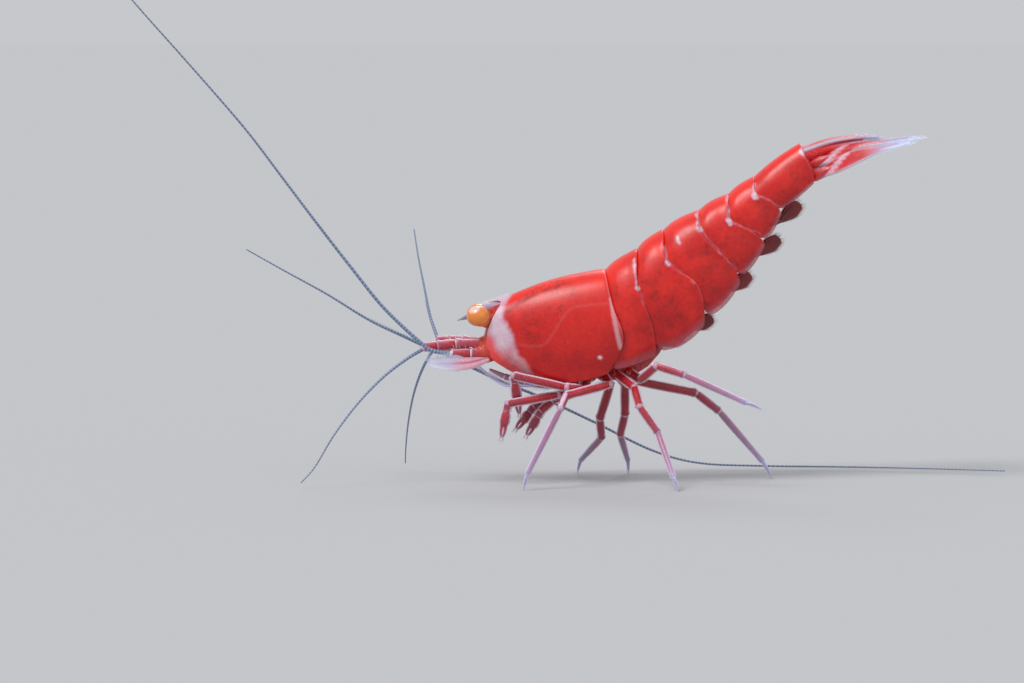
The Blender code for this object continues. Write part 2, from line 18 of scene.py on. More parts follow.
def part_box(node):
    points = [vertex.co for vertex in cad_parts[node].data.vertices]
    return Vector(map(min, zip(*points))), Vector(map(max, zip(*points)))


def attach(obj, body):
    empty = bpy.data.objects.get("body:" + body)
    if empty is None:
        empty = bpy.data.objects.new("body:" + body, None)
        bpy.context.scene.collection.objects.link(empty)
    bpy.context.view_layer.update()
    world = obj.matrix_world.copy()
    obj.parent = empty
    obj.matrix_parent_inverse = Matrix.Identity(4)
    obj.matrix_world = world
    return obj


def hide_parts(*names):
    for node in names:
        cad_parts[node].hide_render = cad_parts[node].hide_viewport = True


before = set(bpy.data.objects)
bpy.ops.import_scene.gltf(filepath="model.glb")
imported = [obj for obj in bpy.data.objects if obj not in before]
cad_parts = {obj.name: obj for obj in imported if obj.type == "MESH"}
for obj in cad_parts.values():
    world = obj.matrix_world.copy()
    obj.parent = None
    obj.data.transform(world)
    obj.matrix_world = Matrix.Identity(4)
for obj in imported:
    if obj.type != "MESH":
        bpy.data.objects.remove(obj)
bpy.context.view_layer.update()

# %% [markdown]
# ## Where a millimetre drawing sits
# The animal is drawn round a point on the floor under its last legs.  The left eye is in both
# the drawing and the frame, so the difference between the two gives the one shift that all
# pieces need.  A single matrix then turns millimetres into metres and moves them home.

# %% The shift from drawing to frame
MM = 0.001
EYE_CENTRE = Vector((-9.87, -1.20, 10.33))
EYE_RADIUS = 0.66
eye_low, eye_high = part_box("eye_left")
HOME = (eye_low + eye_high) / 2 - EYE_CENTRE * MM
PLACE = Matrix.Translation(HOME) @ Matrix.Scale(MM, 4)
print("drawing origin in the frame, mm:", HOME * 1000)

# %% [markdown]
# ## Small helpers
# Smooth curves run through a few given points, so an outline needs only the points that
# its shape needs.  `blur_step` is a soft switch from 0 to 1, used for every painted border.

# %% Curves and soft steps
SIDES = {"left": -1.0, "right": 1.0}      # each side's sign of y
SIDEWAYS = Vector((0, 1, 0))
FINE_STEPS = 1200         # steps in which a long curve is measured


def through(points, u):
    """The place at u, from 0 to 1, on a smooth curve through evenly spaced points."""
    last = len(points) - 1
    index = min(int(max(u, 0.0) * last), last - 1)
    f = u * last - index
    before, here, there, after = (
        Vector(points[min(max(index + step, 0), last)]) for step in (-1, 0, 1, 2))
    return 0.5 * (2.0 * here + (there - before) * f
                  + (2.0 * before - 5.0 * here + 4.0 * there - after) * f * f
                  + (3.0 * here - before - 3.0 * there + after) * f ** 3)


def value_through(values, u):
    """A single number at u on a smooth curve through a few numbers."""
    return through([(value, 0.0) for value in values], u).x


def blur_step(low, high, x):
    """0 below low, 1 above high and a soft rise between them."""
    share = min(max((x - low) / (high - low), 0.0), 1.0)
    return share * share * (3.0 - 2.0 * share)


def even_path(points, step):
    """Places a step apart along the smooth curve through a few points."""
    fine = [through(points, i / FINE_STEPS) for i in range(FINE_STEPS + 1)]
    path, run = [fine[0]], 0.0
    for near, far in zip(fine, fine[1:]):
        run += (far - near).length
        if run >= step:
            path.append(far)
            run = 0.0
    return path


def tangents(path):
    """The direction of a path at each of its points."""
    result = []
    for i, point in enumerate(path):
        before = point - path[i - 1] if i else path[1] - point
        after = path[i + 1] - point if i + 1 < len(path) else before
        result.append((before.normalized() + after.normalized()).normalized())
    return result


def outward(point, side):
    """A place whose y counts outwards from the middle plane, on one side of the body."""
    return Vector((point[0], SIDES[side] * point[1], point[2]))


# %% [markdown]
# ## Paint that follows the surface
# A shrimp's colour lies in cells under a clear cuticle.  Each vertex carries five shares:
# `pale` for milky marks and painted highlights, `deep` for dark pigment and painted shade,
# `blue` for colourless cuticle, `clear` for what light passes through, and `low` for how far
# down the flank it is, where the shell plates get painted shade.  Materials read them.

# %% Painted shares
PAINTS = ("pale", "deep", "blue", "clear", "low")


def new_bmesh():
    """An empty bmesh whose vertices can be painted."""
    bm = bmesh.new()
    for name in PAINTS:
        bm.verts.layers.float.new(name)
    return bm


def paint(bm, vert, **shares):
    """Give a vertex some of its five shares; the others stay 0."""
    for name, share in shares.items():
        vert[bm.verts.layers.float[name]] = share


# %% [markdown]
# ## From a drawing to a piece
# A bmesh is only a workbench.  To be seen, its shape moves into a mesh, and the mesh into an
# object.  Each piece also gets its material, rides on the frame's root body, and hides the
# plain solids that it stands in for.


# %% Settle a piece
def add_object(name, data):
    """A new object in the scene, made of a mesh, a lamp or a camera."""
    made = bpy.data.objects.new(name, data)
    bpy.context.collection.objects.link(made)
    return made


def settle(name, bm, material, nodes=(), thickness=0.0):
    """Turn a bmesh drawn in millimetres into a piece of the model."""
    bmesh.ops.transform(bm, matrix=PLACE, verts=bm.verts)
    mesh = bpy.data.meshes.new(name)
    bm.to_mesh(mesh)
    bm.free()
    mesh.shade_smooth()
    mesh.materials.append(material)
    piece = add_object(name, mesh)
    if thickness:
        wall = piece.modifiers.new("wall", "SOLIDIFY")
        wall.thickness = thickness * MM
        wall.offset = -1.0
    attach(piece, "root")
    if nodes:
        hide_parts(*nodes)
    print(name, len(mesh.polygons), "faces")
    return piece


# %% [markdown]
# ## Tubes
# Legs, feelers and stalks are tubes.  Rings made by `create_circle` are set along a path and
# joined with `bridge_loops`.  A bevelled curve would be quicker, but its section can't change
# on the way from round to flat, as a leaf-shaped tail plate needs.


# %% Rings and tubes
def ring(bm, centre, across, over, half_width, half_height, sides, capped=False):
    """An oval loop of vertices, with each one's place round the loop as (x, y)."""
    made = bmesh.ops.create_circle(bm, cap_ends=capped, segments=sides, radius=1.0)["verts"]
    spots = [(vert, vert.co.x, vert.co.y) for vert in made]
    for vert, x, y in spots:
        vert.co = centre + across * (half_width * x) + over * (half_height * y)
    return spots


def ring_edges(spots):
    """The edges that join a ring's own vertices, each once, in the same order every run."""
    own = {vert for vert, _, _ in spots}
    edges = [edge for vert, _, _ in spots for edge in vert.link_edges if set(edge.verts) <= own]
    return list(dict.fromkeys(edges))


def frames(directions, across):
    """Axes square to each direction of a path, carried along it without twist."""
    result = []
    for direction in directions:
        across = (across - direction * across.dot(direction)).normalized()
        result.append((across, across.cross(direction)))
    return result


def tube(bm, path, sizes, across, sides=12, shade=None, turned=None):
    """A closed tube along a path; sizes are (half width, half height) at each point."""
    previous = None
    directions = tangents(path)
    axes = frames(directions, across)
    if turned:
        axes = [(way, way.cross(direction)) for way, direction in zip(turned, directions)]
    for i, (centre, (wide, high)) in enumerate(zip(path, sizes)):
        share = i / (len(path) - 1)
        spots = ring(bm, centre, *axes[i], wide, high, sides, capped=i in (0, len(path) - 1))
        if shade:
            for vert, x, y in spots:
                paint(bm, vert, **shade(share, x, y))
        edges = ring_edges(spots)
        if previous:
            bmesh.ops.bridge_loops(bm, edges=previous + edges)
        previous = edges


# %% [markdown]
# ## Bristles and teeth
# A shrimp feels and filters with bristles of hollow chitin, each a few hundredths of a
# millimetre thick.  They are drawn a little thicker than life, so that they show.  A hair
# system would be lost outside Blender, so each one is a three-sided cone.  Bristles of one
# kind gather in one mesh, where each has a small patch of a paint map, in a row for the edge
# that it stands on.  Teeth are larger cones, pressed thin, and belong to the piece they
# stand on.

# %% Bristles and teeth
COAT_ROWS = 180           # rows of the coats' paint map, one for each bristled edge
PATCH = 0.003             # size of one bristle's patch of that map
coats = {}
next_row = itertools.count()


def coat(slot):
    """The mesh that gathers one slot's bristles, and a fresh row of its paint map."""
    if slot not in coats:
        coats[slot] = new_bmesh()
        coats[slot].loops.layers.uv.new("OFBake")
    return coats[slot], (next(next_row) + 0.5) / COAT_ROWS


def bristle(hairs, root, tip, radius, place, **shares):
    """A thin cone from root to tip; place is its root's share of the way along its row."""
    bm, row = hairs
    along = tip - root
    turn = along.to_track_quat("Z", "Y").to_matrix().to_4x4()
    made = bmesh.ops.create_cone(
        bm, cap_ends=True, segments=3, radius1=radius, radius2=0.15 * radius,
        depth=along.length, matrix=Matrix.Translation((root + tip) / 2) @ turn)["verts"]
    layer = bm.loops.layers.uv["OFBake"]
    for i, vert in enumerate(made):
        paint(bm, vert, **shares)
        for loop in vert.link_loops:
            loop[layer].uv = (0.01 + 0.98 * place + 0.5 * PATCH * (i % 3 - 1),
                              row + PATCH * (i // 3 - 0.5))


def tooth(bm, root, tip, radius):
    """A cone pressed thin from side to side."""
    along = tip - root
    turn = along.to_track_quat("Z", "Y").to_matrix().to_4x4()
    made = bmesh.ops.create_cone(
        bm, cap_ends=True, segments=8, radius1=radius, radius2=0.1 * radius,
        depth=along.length, matrix=Matrix.Translation((root + tip) / 2) @ turn)["verts"]
    for vert in made:
        vert.co.y = root.y + 0.6 * (vert.co.y - root.y)
        paint(bm, vert, pale=0.95, blue=0.5)


# %% [markdown]
# ## Colour
# Colours are written as the hex values a painter would pick from a screen.  Blender mixes
# light in linear values, so one function turns the one into the other.


# %% Hex colours and node helpers
def colour(text):
    """A colour such as E63A3A, in Blender's linear values."""
    parts = [int(text[i:i + 2], 16) / 255 for i in (0, 2, 4)]
    linear = [part / 12.92 if part <= 0.04045 else ((part + 0.055) / 1.055) ** 2.4
              for part in parts]
    return (*linear, 1.0)


def feed(tree, node, inputs):
    """Fill a node's sockets: a value is written in, and another node's socket is linked."""
    for name, value in inputs.items():
        if isinstance(value, bpy.types.NodeSocket):
            tree.links.new(value, node.inputs[name])
        else:
            node.inputs[name].default_value = value


def add_node(tree, kind, inputs=None, **settings):
    """Add a shader node: settings are its own properties, inputs what its sockets get."""
    made = tree.nodes.new("ShaderNode" + kind)
    for name, value in settings.items():
        setattr(made, name, value)
    feed(tree, made, inputs or {})
    return made


def new_material(name):
    """A new material, with its node tree and the shader that Blender puts in it."""
    material = bpy.data.materials.new(name)
    material.use_nodes = True
    return material, material.node_tree, material.node_tree.nodes["Principled BSDF"]


def per_size(size_mm):
    """The texture scale that makes a pattern's features about this many millimetres apart."""
    return 1.0 / (size_mm * MM)


# %% [markdown]
# ## The cuticle
# Real cuticle is chitin, stiffened with lime: clear, glossy and wet, with an IOR near 1.55.
# The pigment under it is cloudy and finely grained.  One recipe serves all but the eyes: it
# mixes a bright and a deep colour by painted shade down the flank and by cloud, sprinkles fine
# grains, then lays the painted shares over them.  Light also sinks a little way in, so thin
# places glow.

# %% Recipe for cuticle over pigment
# The Mix node has sockets of one name for each kind of data, so its colour sockets are known
# by number.
MIX_FACTOR, MIX_A, MIX_B, MIX_OUT = 0, 6, 7, 2
# Patterns have their real sizes.  Pigment cells are about 0.1 mm across, and cloudy patches of
# them 1 to 2 mm.


def cuticle(name, bright, deep, pale, blue, dark="3A0F12", rough=0.36, glow=0.18,
            grain_mm=0.13, cloud_mm=1.8, clearness=0.0, coat=0.22, speckle=0.05, forward=None):
    """Wet cuticle over pigment.

    bright and deep are the colours of the back and of the lower flank; deep comes in with
    painted shade down the flank and with the pigment's cloud.  pale is the colour of milky marks
    and painted highlights, blue that of cuticle without pigment, and dark that of blotches and
    of painted shade.  glow is how much light sinks in, clearness how much passes through at
    most, and speckle how strong the pale grains are.  forward is a tint that comes in towards
    the head, as (from mm, to mm, colour).
    """
    material, tree, shader = new_material(name)
    where = add_node(tree, "TexCoord").outputs["Object"]
    share = {paint_name: add_node(tree, "Attribute", attribute_name=paint_name).outputs["Fac"]
             for paint_name in PAINTS}
    cloud = add_node(tree, "TexNoise", {"Vector": where, "Scale": per_size(cloud_mm),
                                        "Detail": 4.0, "Roughness": 0.6})
    grain = add_node(tree, "TexNoise", {"Vector": where, "Scale": per_size(grain_mm),
                                        "Detail": 2.0, "Roughness": 0.7})
    cloudy = add_node(tree, "MapRange", {"Value": cloud.outputs["Fac"], "From Min": 0.35,
                                         "From Max": 0.68, "To Min": -0.22, "To Max": 0.30})
    # Painted shade: the low share, with the pigment's cloud, mixes in the deep colour.
    depth = add_node(tree, "Math", {0: share["low"], 1: cloudy.outputs["Result"]},
                     operation="ADD", use_clamp=True).outputs[0]
    grained = add_node(tree, "MapRange", {"Value": grain.outputs["Fac"], "From Min": 0.50,
                                          "From Max": 0.75, "To Min": 0.0, "To Max": speckle})
    ragged = add_node(tree, "MapRange", {"Value": grain.outputs["Fac"], "From Min": 0.3,
                                         "From Max": 0.7, "To Min": 0.75, "To Max": 1.15})
    milk = add_node(tree, "Math", {0: share["pale"], 1: ragged.outputs["Result"]},
                    operation="MULTIPLY", use_clamp=True).outputs[0]
    layers = [(depth, deep)]
    if forward:
        start_mm, end_mm, tint = forward
        x = add_node(tree, "SeparateXYZ", {"Vector": where}).outputs["X"]
        ahead = add_node(tree, "MapRange", {"Value": x, "From Min": HOME.x + start_mm * MM,
                                            "From Max": HOME.x + end_mm * MM, "To Max": 0.85},
                         interpolation_type="SMOOTHSTEP").outputs["Result"]
        layers.append((ahead, tint))
    # The deep share lays dark pigment and painted shade; the pale share lays milky marks and
    # painted highlights.
    layers += [(grained.outputs["Result"], pale), (share["deep"], dark),
               (share["blue"], blue), (milk, pale)]
    base = colour(bright)
    for factor, top in layers:
        base = add_node(tree, "Mix", {MIX_FACTOR: factor, MIX_A: base, MIX_B: colour(top)},
                        data_type="RGBA").outputs[MIX_OUT]
    if clearness:
        seen = add_node(tree, "MapRange", {"Value": share["clear"], "To Min": 1.0,
                                           "To Max": 1.0 - clearness})
        feed(tree, shader, {"Alpha": seen.outputs["Result"]})
    bump = add_node(tree, "Bump", {"Height": grain.outputs["Fac"], "Strength": 0.25,
                                   "Distance": 0.02 * MM})
    feed(tree, shader, {
        "Base Color": base, "Normal": bump.outputs["Normal"], "Roughness": rough, "IOR": 1.55,
        "Specular IOR Level": 0.35, "Coat Weight": coat, "Coat Roughness": 0.22,
        "Subsurface Weight": glow, "Subsurface Radius": (1.0, 0.25, 0.15),
        "Subsurface Scale": 0.5 * MM})
    return material


# %% [markdown]
# ## Nine finishes from one recipe
# All of the animal is chitin, but its parts differ in lime, pigment and thickness, and that is
# what the eye reads.  So each finish is a call of the recipe with its own colours, grain,
# gloss and clearness.

# %% The finishes
# Shell plates: chitin stiffened with lime, thin and wet.  The eye sees a clear, bright red
# under a soft sheen, and light coming through at the plates' lower edges.  The deeper red down
# the flanks is painted shade.
SHELL = cuticle("wet_red_shell", "FA2818", "B80408", "E4CCD6", "B0A8DC", dark="4A0A10",
                clearness=0.45, speckle=0.03, coat=0.16)
# Legs, claws and feeler stems: slim tubes of chitin with little lime.  They look darker than
# the shell, finely grained, and milky where the eye looks along the wall; that milky edge is
# partly a painted highlight, and the far side's limbs get painted shade.
LIMB = cuticle("jointed_limb_cuticle", "C41420", "7C0410", "F0E2FA", "B0BCEA", grain_mm=0.09,
               speckle=0.12)
# Swimming paddles: thin skin over muscle, always in the body's shade.  Their red is darkened
# with painted shade, and they look soft and nearly dull.
FLESH = cuticle("red_flesh_painted_shade", "9C0A12", "540408", "C89AB0", "6C7090", rough=0.5, coat=0.1,
                speckle=0.0)
# Soft body: bare, leathery skin between and under the plates.  It is duller than the shell,
# with dense pale grains, and turns orange near the eyes.
SKIN = cuticle("soft_body_skin", "B00E12", "600408", "E8A8A0", "6C7090", rough=0.42, coat=0.15,
               speckle=0.35, cloud_mm=0.9, forward=(-8.2, -9.0, "C83A24"))
# Tail plates: leaves of chitin without lime.  They look bright red along the rib and like
# bluish glass at the ends.
FAN = cuticle("tail_fan_cuticle", "E81C1C", "A6060C", "F0E4F8", "B8C8F4", clearness=0.45,
              speckle=0.10)
# Feelers: hollow rings of chitin with almost no pigment.  They look a cool, quiet grey blue.
FEELER = cuticle("ringed_feeler_cuticle", "54688C", "3C4C6A", "B9C8E4", "7C90B4",
                 grain_mm=0.10, glow=0.05)
# Rostrum: solid chitin without red pigment.  It looks like pale horn, clear towards its tip.
SPINE = cuticle("rostrum_cuticle", "B494B0", "7C789C", "F4E6F2", "6C7CA8", clearness=0.3)
# Eye stalks: soft cuticle over orange pigment.  They look matt beside the glossy eye, and
# change from the shell's red to the eye's own orange.
HEAD = cuticle("orange_head_cuticle", "E8461E", "C01410", "F4CCB8", "A8A4DC", rough=0.42,
               coat=0.15, forward=(-9.08, -9.42, "F08C38"))
# Bristles: hollow chitin without pigment.  They scatter light, so they look white.
BRISTLE = cuticle("chitin_bristles", "F4F4FC", "D4DAEE", "FFFFFF", "C4D0EE", grain_mm=0.08)
print("finishes:", [material.name for material in bpy.data.materials])

# %% [markdown]
# ## The shape of the trunk
# Seven shell segments follow each other from the head to the tail.  In the side view each one
# lies between two cuts, and across the body its section is an oval crown with flatter flanks.
# The same numbers shaped the solids, so the plates lie on them.

# %% Cuts, widths and swell of the seven segments
HEAD_EDGE = [(-8.15, 11.35), (-8.82, 10.45), (-9.30, 9.25), (-9.22, 7.95), (-7.85, 7.00)]
CUT_1 = [(-2.14, 13.05), (-1.70, 11.00), (-1.05, 9.00), (-1.70, 7.05)]
CUT_2 = [(-0.18, 14.28), (-0.20, 12.20), (0.45, 10.50), (1.25, 8.15)]
CUT_3 = [(1.40, 15.46), (1.65, 13.60), (3.40, 12.35), (4.15, 10.25)]
CUT_4 = [(3.58, 16.64), (3.65, 15.40), (5.00, 14.05), (6.25, 12.80)]
CUT_5 = [(5.40, 17.64), (5.35, 16.40), (6.50, 15.65), (7.68, 15.05)]
CUT_6 = [(6.97, 18.70), (7.00, 17.85), (7.85, 17.40), (8.62, 16.85)]
TAIL_EDGE = [(9.78, 20.74), (10.02, 20.05), (10.38, 19.35), (10.78, 18.68)]
SEGMENTS = {
    # front cut, rear cut, half widths along it, swell of back and belly
    "carapace": (HEAD_EDGE, CUT_1, (1.20, 1.85, 2.25, 2.35), 0.27, 0.72),
    "abdomen_1": (CUT_1, CUT_2, (2.28, 2.34, 2.36), 0.10, 0.10),
    "abdomen_2": (CUT_2, CUT_3, (2.32, 2.36, 2.30), 0.12, 0.38),
    "abdomen_3": (CUT_3, CUT_4, (2.24, 2.20, 2.06), 0.14, 0.26),
    "abdomen_4": (CUT_4, CUT_5, (2.00, 1.92, 1.78), 0.12, 0.16),
    "abdomen_5": (CUT_5, CUT_6, (1.72, 1.64, 1.50), 0.10, 0.12),
    "abdomen_6": (CUT_6, TAIL_EDGE, (1.42, 1.30, 1.08), 0.10, 0.06),
}
WIDEST = 0.58             # depth, from back to belly, at which a body section is widest
LIP = 0.74                # width of the lower edge, as a share of the widest
CROWN = 2 / 3             # share of a plate's arc from the back line to the widest place
TUCKED = 0.95             # size of a plate's front, which slides under the one before
FLARE = 1.014             # size of its rear lip


def section_share(a):
    """Depth and half width at a, from 0 on the back line to 1 on the lower edge."""
    if a <= CROWN:
        turn = 0.5 * math.pi * a / CROWN
        return WIDEST * (1.0 - math.cos(turn)), math.sin(turn)
    down = (a - CROWN) / (1.0 - CROWN)
    return WIDEST + (1.0 - WIDEST) * down, 1.0 - (1.0 - LIP) * down * down


def side_point(segment, t, depth):
    """The (x, z) of a segment at t from front to rear and depth from back to belly."""
    front, rear, _, back_swell, belly_swell = SEGMENTS[segment]
    here, there = through(front, depth), through(rear, depth)
    run = (Vector(rear[0]) - Vector(front[0])).normalized()
    swell = math.sin(math.pi * min(max(t, 0.0), 1.0))
    rise = swell * (back_swell * (1.0 - depth) ** 2 - belly_swell * depth ** 2)
    return here + (there - here) * t + Vector((-run.y, run.x)) * rise


def half_width(segment, t):
    """The trunk's half width where it is widest, at t along a segment."""
    return value_through(SEGMENTS[segment][2], min(max(t, 0.0), 1.0))


def trunk_point(segment, t, a, size=1.0):
    """A place on the trunk: t from a segment's front to its rear, a from -1 over 0 to 1."""
    depth, share = section_share(min(abs(a), 1.0))
    side = side_point(segment, t, 0.5 + (depth - 0.5) * size)
    return Vector((side.x, math.copysign(share * half_width(segment, t) * size, a), side.y))


print("segments of the trunk:", len(SEGMENTS))

# %% [markdown]
# ## The carapace's marks
# In a living shrimp, white and dark pigment cells gather in bands and blotches.  No image is
# needed for them: each mark is a line of places in the side view, and its strength falls off
# with the distance from that line.  Noise breaks it into flecks, as the cells do.  One dark
# mark, REAR_SHADOW, is not pigment but a painted shadow at the shell's rear edge.

# %% The carapace's painted marks
# Lines of (x, z), except the front band, which is (z, x) of the band's rear border.
FRONT_BAND = [(11.49, -7.82), (10.94, -8.25), (10.14, -8.31), (9.65, -8.07), (9.17, -7.70),
              (8.55, -7.52), (8.00, -7.39), (7.27, -6.72), (6.4, -6.3)]
FRONT_CORNER = [(-9.35, 8.75), (-9.10, 8.00), (-8.60, 7.42), (-7.75, 6.95)]
DARK_STREAK = [(-8.05, 10.57), (-7.50, 10.93), (-6.82, 11.33), (-5.80, 11.82), (-4.90, 12.12)]
GILL_LINE = [through([(-7.58, 8.62), (-5.93, 8.62), (-5.13, 9.59), (-4.15, 10.81),
                      (-2.02, 11.12)], i / 24) for i in range(25)]
REAR_BAR = [(-1.80, 11.4), (-1.60, 10.2), (-1.40, 9.2), (-1.22, 8.5)]
REAR_SHADOW = [(-1.10, 9.6), (-0.98, 9.0), (-1.00, 8.3), (-1.25, 7.7)]
REAR_DOT = [(-2.50, 7.90), (-2.42, 7.86)]
GREY_CORNER = [(-8.05, 7.62), (-7.80, 7.45)]
CHEEK_CLOUD = [(-6.75, 10.15), (-6.60, 9.2)]
FLANK_CLOUD = [(-5.30, 10.9), (-4.80, 10.5)]
BACK_CLOUD = [(-5.35, 12.0), (-4.4, 11.7)]


def reach(x, z, line):
    """Distance in the side view from a place to a line of points."""
    here = Vector((x, z))
    best = 1e9
    for near, far in zip(line, line[1:]):
        near, far = Vector(near), Vector(far)
        run = far - near
        share = min(max((here - near).dot(run) / run.length_squared, 0.0), 1.0)
        best = min(best, (here - near - run * share).length)
    return best


def band_front(z):
    """x of the milky front band's rear border at a height."""
    if z >= FRONT_BAND[0][0]:
        return FRONT_BAND[0][1]
    for (high, near), (low, far) in zip(FRONT_BAND, FRONT_BAND[1:]):
        if z >= low:
            return near + (far - near) * (high - z) / (high - low)
    return FRONT_BAND[-1][1]


def fleck(point, size):
    """An irregular share from 0 to 1, in patches of about a size."""
    return min(max(0.5 + 0.9 * noise.noise(point / size), 0.0), 1.0)


def mark(x, z, line, width, strength=1.0):
    """A soft line of paint."""
    return strength * (1.0 - blur_step(0.25 * width, width, reach(x, z, line)))


def carapace_paint(point, t, a):
    """The shares of a place on the carapace; t and a are its place on the plate."""
    x, z = point.x, point.z
    ripple = 0.16 * noise.noise(point / 0.8) + 0.06 * noise.noise(point / 0.25)
    front = 1.0 - blur_step(-0.24, 0.20, x - band_front(z) - ripple)
    grey = mark(x, z, GREY_CORNER, 0.50, 0.7) * (0.4 + 0.6 * fleck(point, 0.25))
    upper = blur_step(7.6, 9.4, z)
    milky = 0.30 + 0.30 * upper + 0.30 * fleck(point, 0.55)
    corner = mark(x, z, FRONT_CORNER, 0.75, 0.85)
    pale = max(milky * front * (1.0 - 0.30 * blur_step(10.0, 11.2, z)) * (1.0 - corner),
               mark(x, z, GILL_LINE, 0.14, 0.045), mark(x, z, REAR_BAR, 0.20, 0.50),
               mark(x, z, REAR_DOT, 0.15, 1.0),
               0.20 * blur_step(0.975, 1.0, t) * (1.0 - blur_step(0.60, 0.80, abs(a))))
    dots, small = fleck(point, 0.42), blur_step(0.45, 0.75, fleck(point, 0.16))
    deep = max(mark(x, z, DARK_STREAK, 0.15, 0.15 + 0.65 * dots),
               mark(x, z, DARK_STREAK, 0.60, 0.36 * small),
               mark(x, z, CHEEK_CLOUD, 0.75, 0.55 * dots * (0.3 + 0.7 * small)),
               mark(x, z, FLANK_CLOUD, 0.80, 0.50 * dots * (0.3 + 0.7 * small)),
               mark(x, z, BACK_CLOUD, 0.70, 0.35 * small),
               mark(x, z, REAR_SHADOW, 0.16, 0.45), 0.7 * grey)
    # Painted shade: low darkens the plate down the flank, and deep carries the painted shadow of
    # REAR_SHADOW.
    return {"pale": pale * (1.0 - 0.6 * grey), "deep": deep * (1.0 - 0.6 * front * (1 - grey)),
            "low": 0.80 * blur_step(0.08, 0.80, abs(a)) * (1.0 - corner),
            "blue": 0.50 * front * upper * (1.0 - corner) + 0.1 * grey}


# %% [markdown]
# ## The abdomen's marks
# Where two segments hinge, the cuticle is thick and milky.  So each joint has a bright spot at
# its hinge, a line up to the back and a fainter one down the flank.  The lines waver with a
# little noise, because straight borders look printed.

# %% The abdomen's painted marks
# For each joint, the line from the back down to the hinge spot, and the one below it.
JOINT_LINES = [
    ([(-0.37, 13.75), (-0.18, 12.16)], [(-0.18, 12.16), (0.20, 11.10)]),
    ([(1.47, 14.54), (1.65, 13.63)], [(1.65, 13.63), (3.20, 12.45)]),
    ([(3.48, 16.44), (3.54, 15.64)], [(3.54, 15.64), (4.95, 14.10), (5.80, 13.25)]),
    ([(5.32, 17.47), (5.32, 16.13)], [(5.32, 16.13), (6.45, 15.70), (7.27, 15.34)]),
    ([(6.97, 18.33), (6.90, 17.66)], [(6.90, 17.66), (7.75, 17.45), (8.62, 16.93)]),
    ([(9.90, 20.53), (9.78, 20.29)], [(9.78, 20.29), (9.95, 19.90)]),
]
FREE_MARKS = [[(2.26, 15.09), (2.38, 14.73)], [(8.74, 16.62), (8.71, 16.55)],
              [(8.55, 16.19), (8.53, 16.12)]]
WAVER = 0.11              # how far the lines waver, and over what length
WAVER_LENGTH = 0.45
# Two far-off spots of one noise field, so that x and z waver on their own.  noise_vector would
# give both at once, but other ones in every run of Blender.
WAVER_X, WAVER_Z = Vector((9.3, -1.5, -8.0)), Vector((6.3, 0.2, -2.7))


def abdomen_paint(point, t, a):
    """The shares of a place on the abdomen; t and a are its place on the plate."""
    x = point.x + WAVER * noise.noise(point / WAVER_LENGTH + WAVER_X)
    z = point.z + WAVER * noise.noise(point / WAVER_LENGTH + WAVER_Z)
    a = abs(a)
    broken = fleck(point, 0.22)
    pale = max(0.05 * blur_step(0.965, 0.995, t), 0.16 * blur_step(0.90, 1.0, a))
    for upper, lower in JOINT_LINES:
        pale = max(pale, mark(x, z, upper, 0.13, 0.20 + 0.55 * broken),
                   mark(x, z, lower, 0.10, 0.05 + 0.12 * broken),
                   mark(x, z, [upper[1], (upper[1][0] + 0.08, upper[1][1] - 0.12)], 0.20,
                        0.55 + 0.45 * broken))
    for line in FREE_MARKS:
        pale = max(pale, mark(x, z, line, 0.14, 0.35 + 0.5 * broken))
    deep = (0.16 * blur_step(0.45, 0.8, fleck(point, 0.7))
            + 0.22 * blur_step(0.70, 0.95, fleck(point, 0.3))) * blur_step(0.20, 0.40, a)
    # Painted shade: low darkens the plate down the flank.
    return {"pale": pale, "deep": deep, "blue": 0.6 * pale,
            "low": 0.75 * blur_step(0.10, 0.85, a), "clear": blur_step(0.88, 1.0, a)}


# %% [markdown]
# ## Shell plates
# Each plate is a flat grid wrapped over the back.  Its front slides under the plate before it
# and its rear lip stands out a little, which gives the stepped outline of a shrimp's back.  A
# Solidify modifier gives the sheet its thickness, inwards, so the drawn side stays in place.

# %% Wrap the plates
PLATE_STEP = 0.065        # distance between a plate's vertices
PLATE_WALL = 0.09         # thickness of the cuticle
HIDDEN = 0.14             # share of a plate that lies under the one before
CORNER = 0.15             # how far a plate's lower corners are rounded, as a share of its length
LOBE_FROM, LOBE_ARC = 0.72, 0.28          # share of the arc where the corners begin, and the rest
BEAK = 0.17               # how far the shell's front runs out over the rostrum, and
BEAK_HALF = 0.34          # the half width of that point, as shares of length and arc


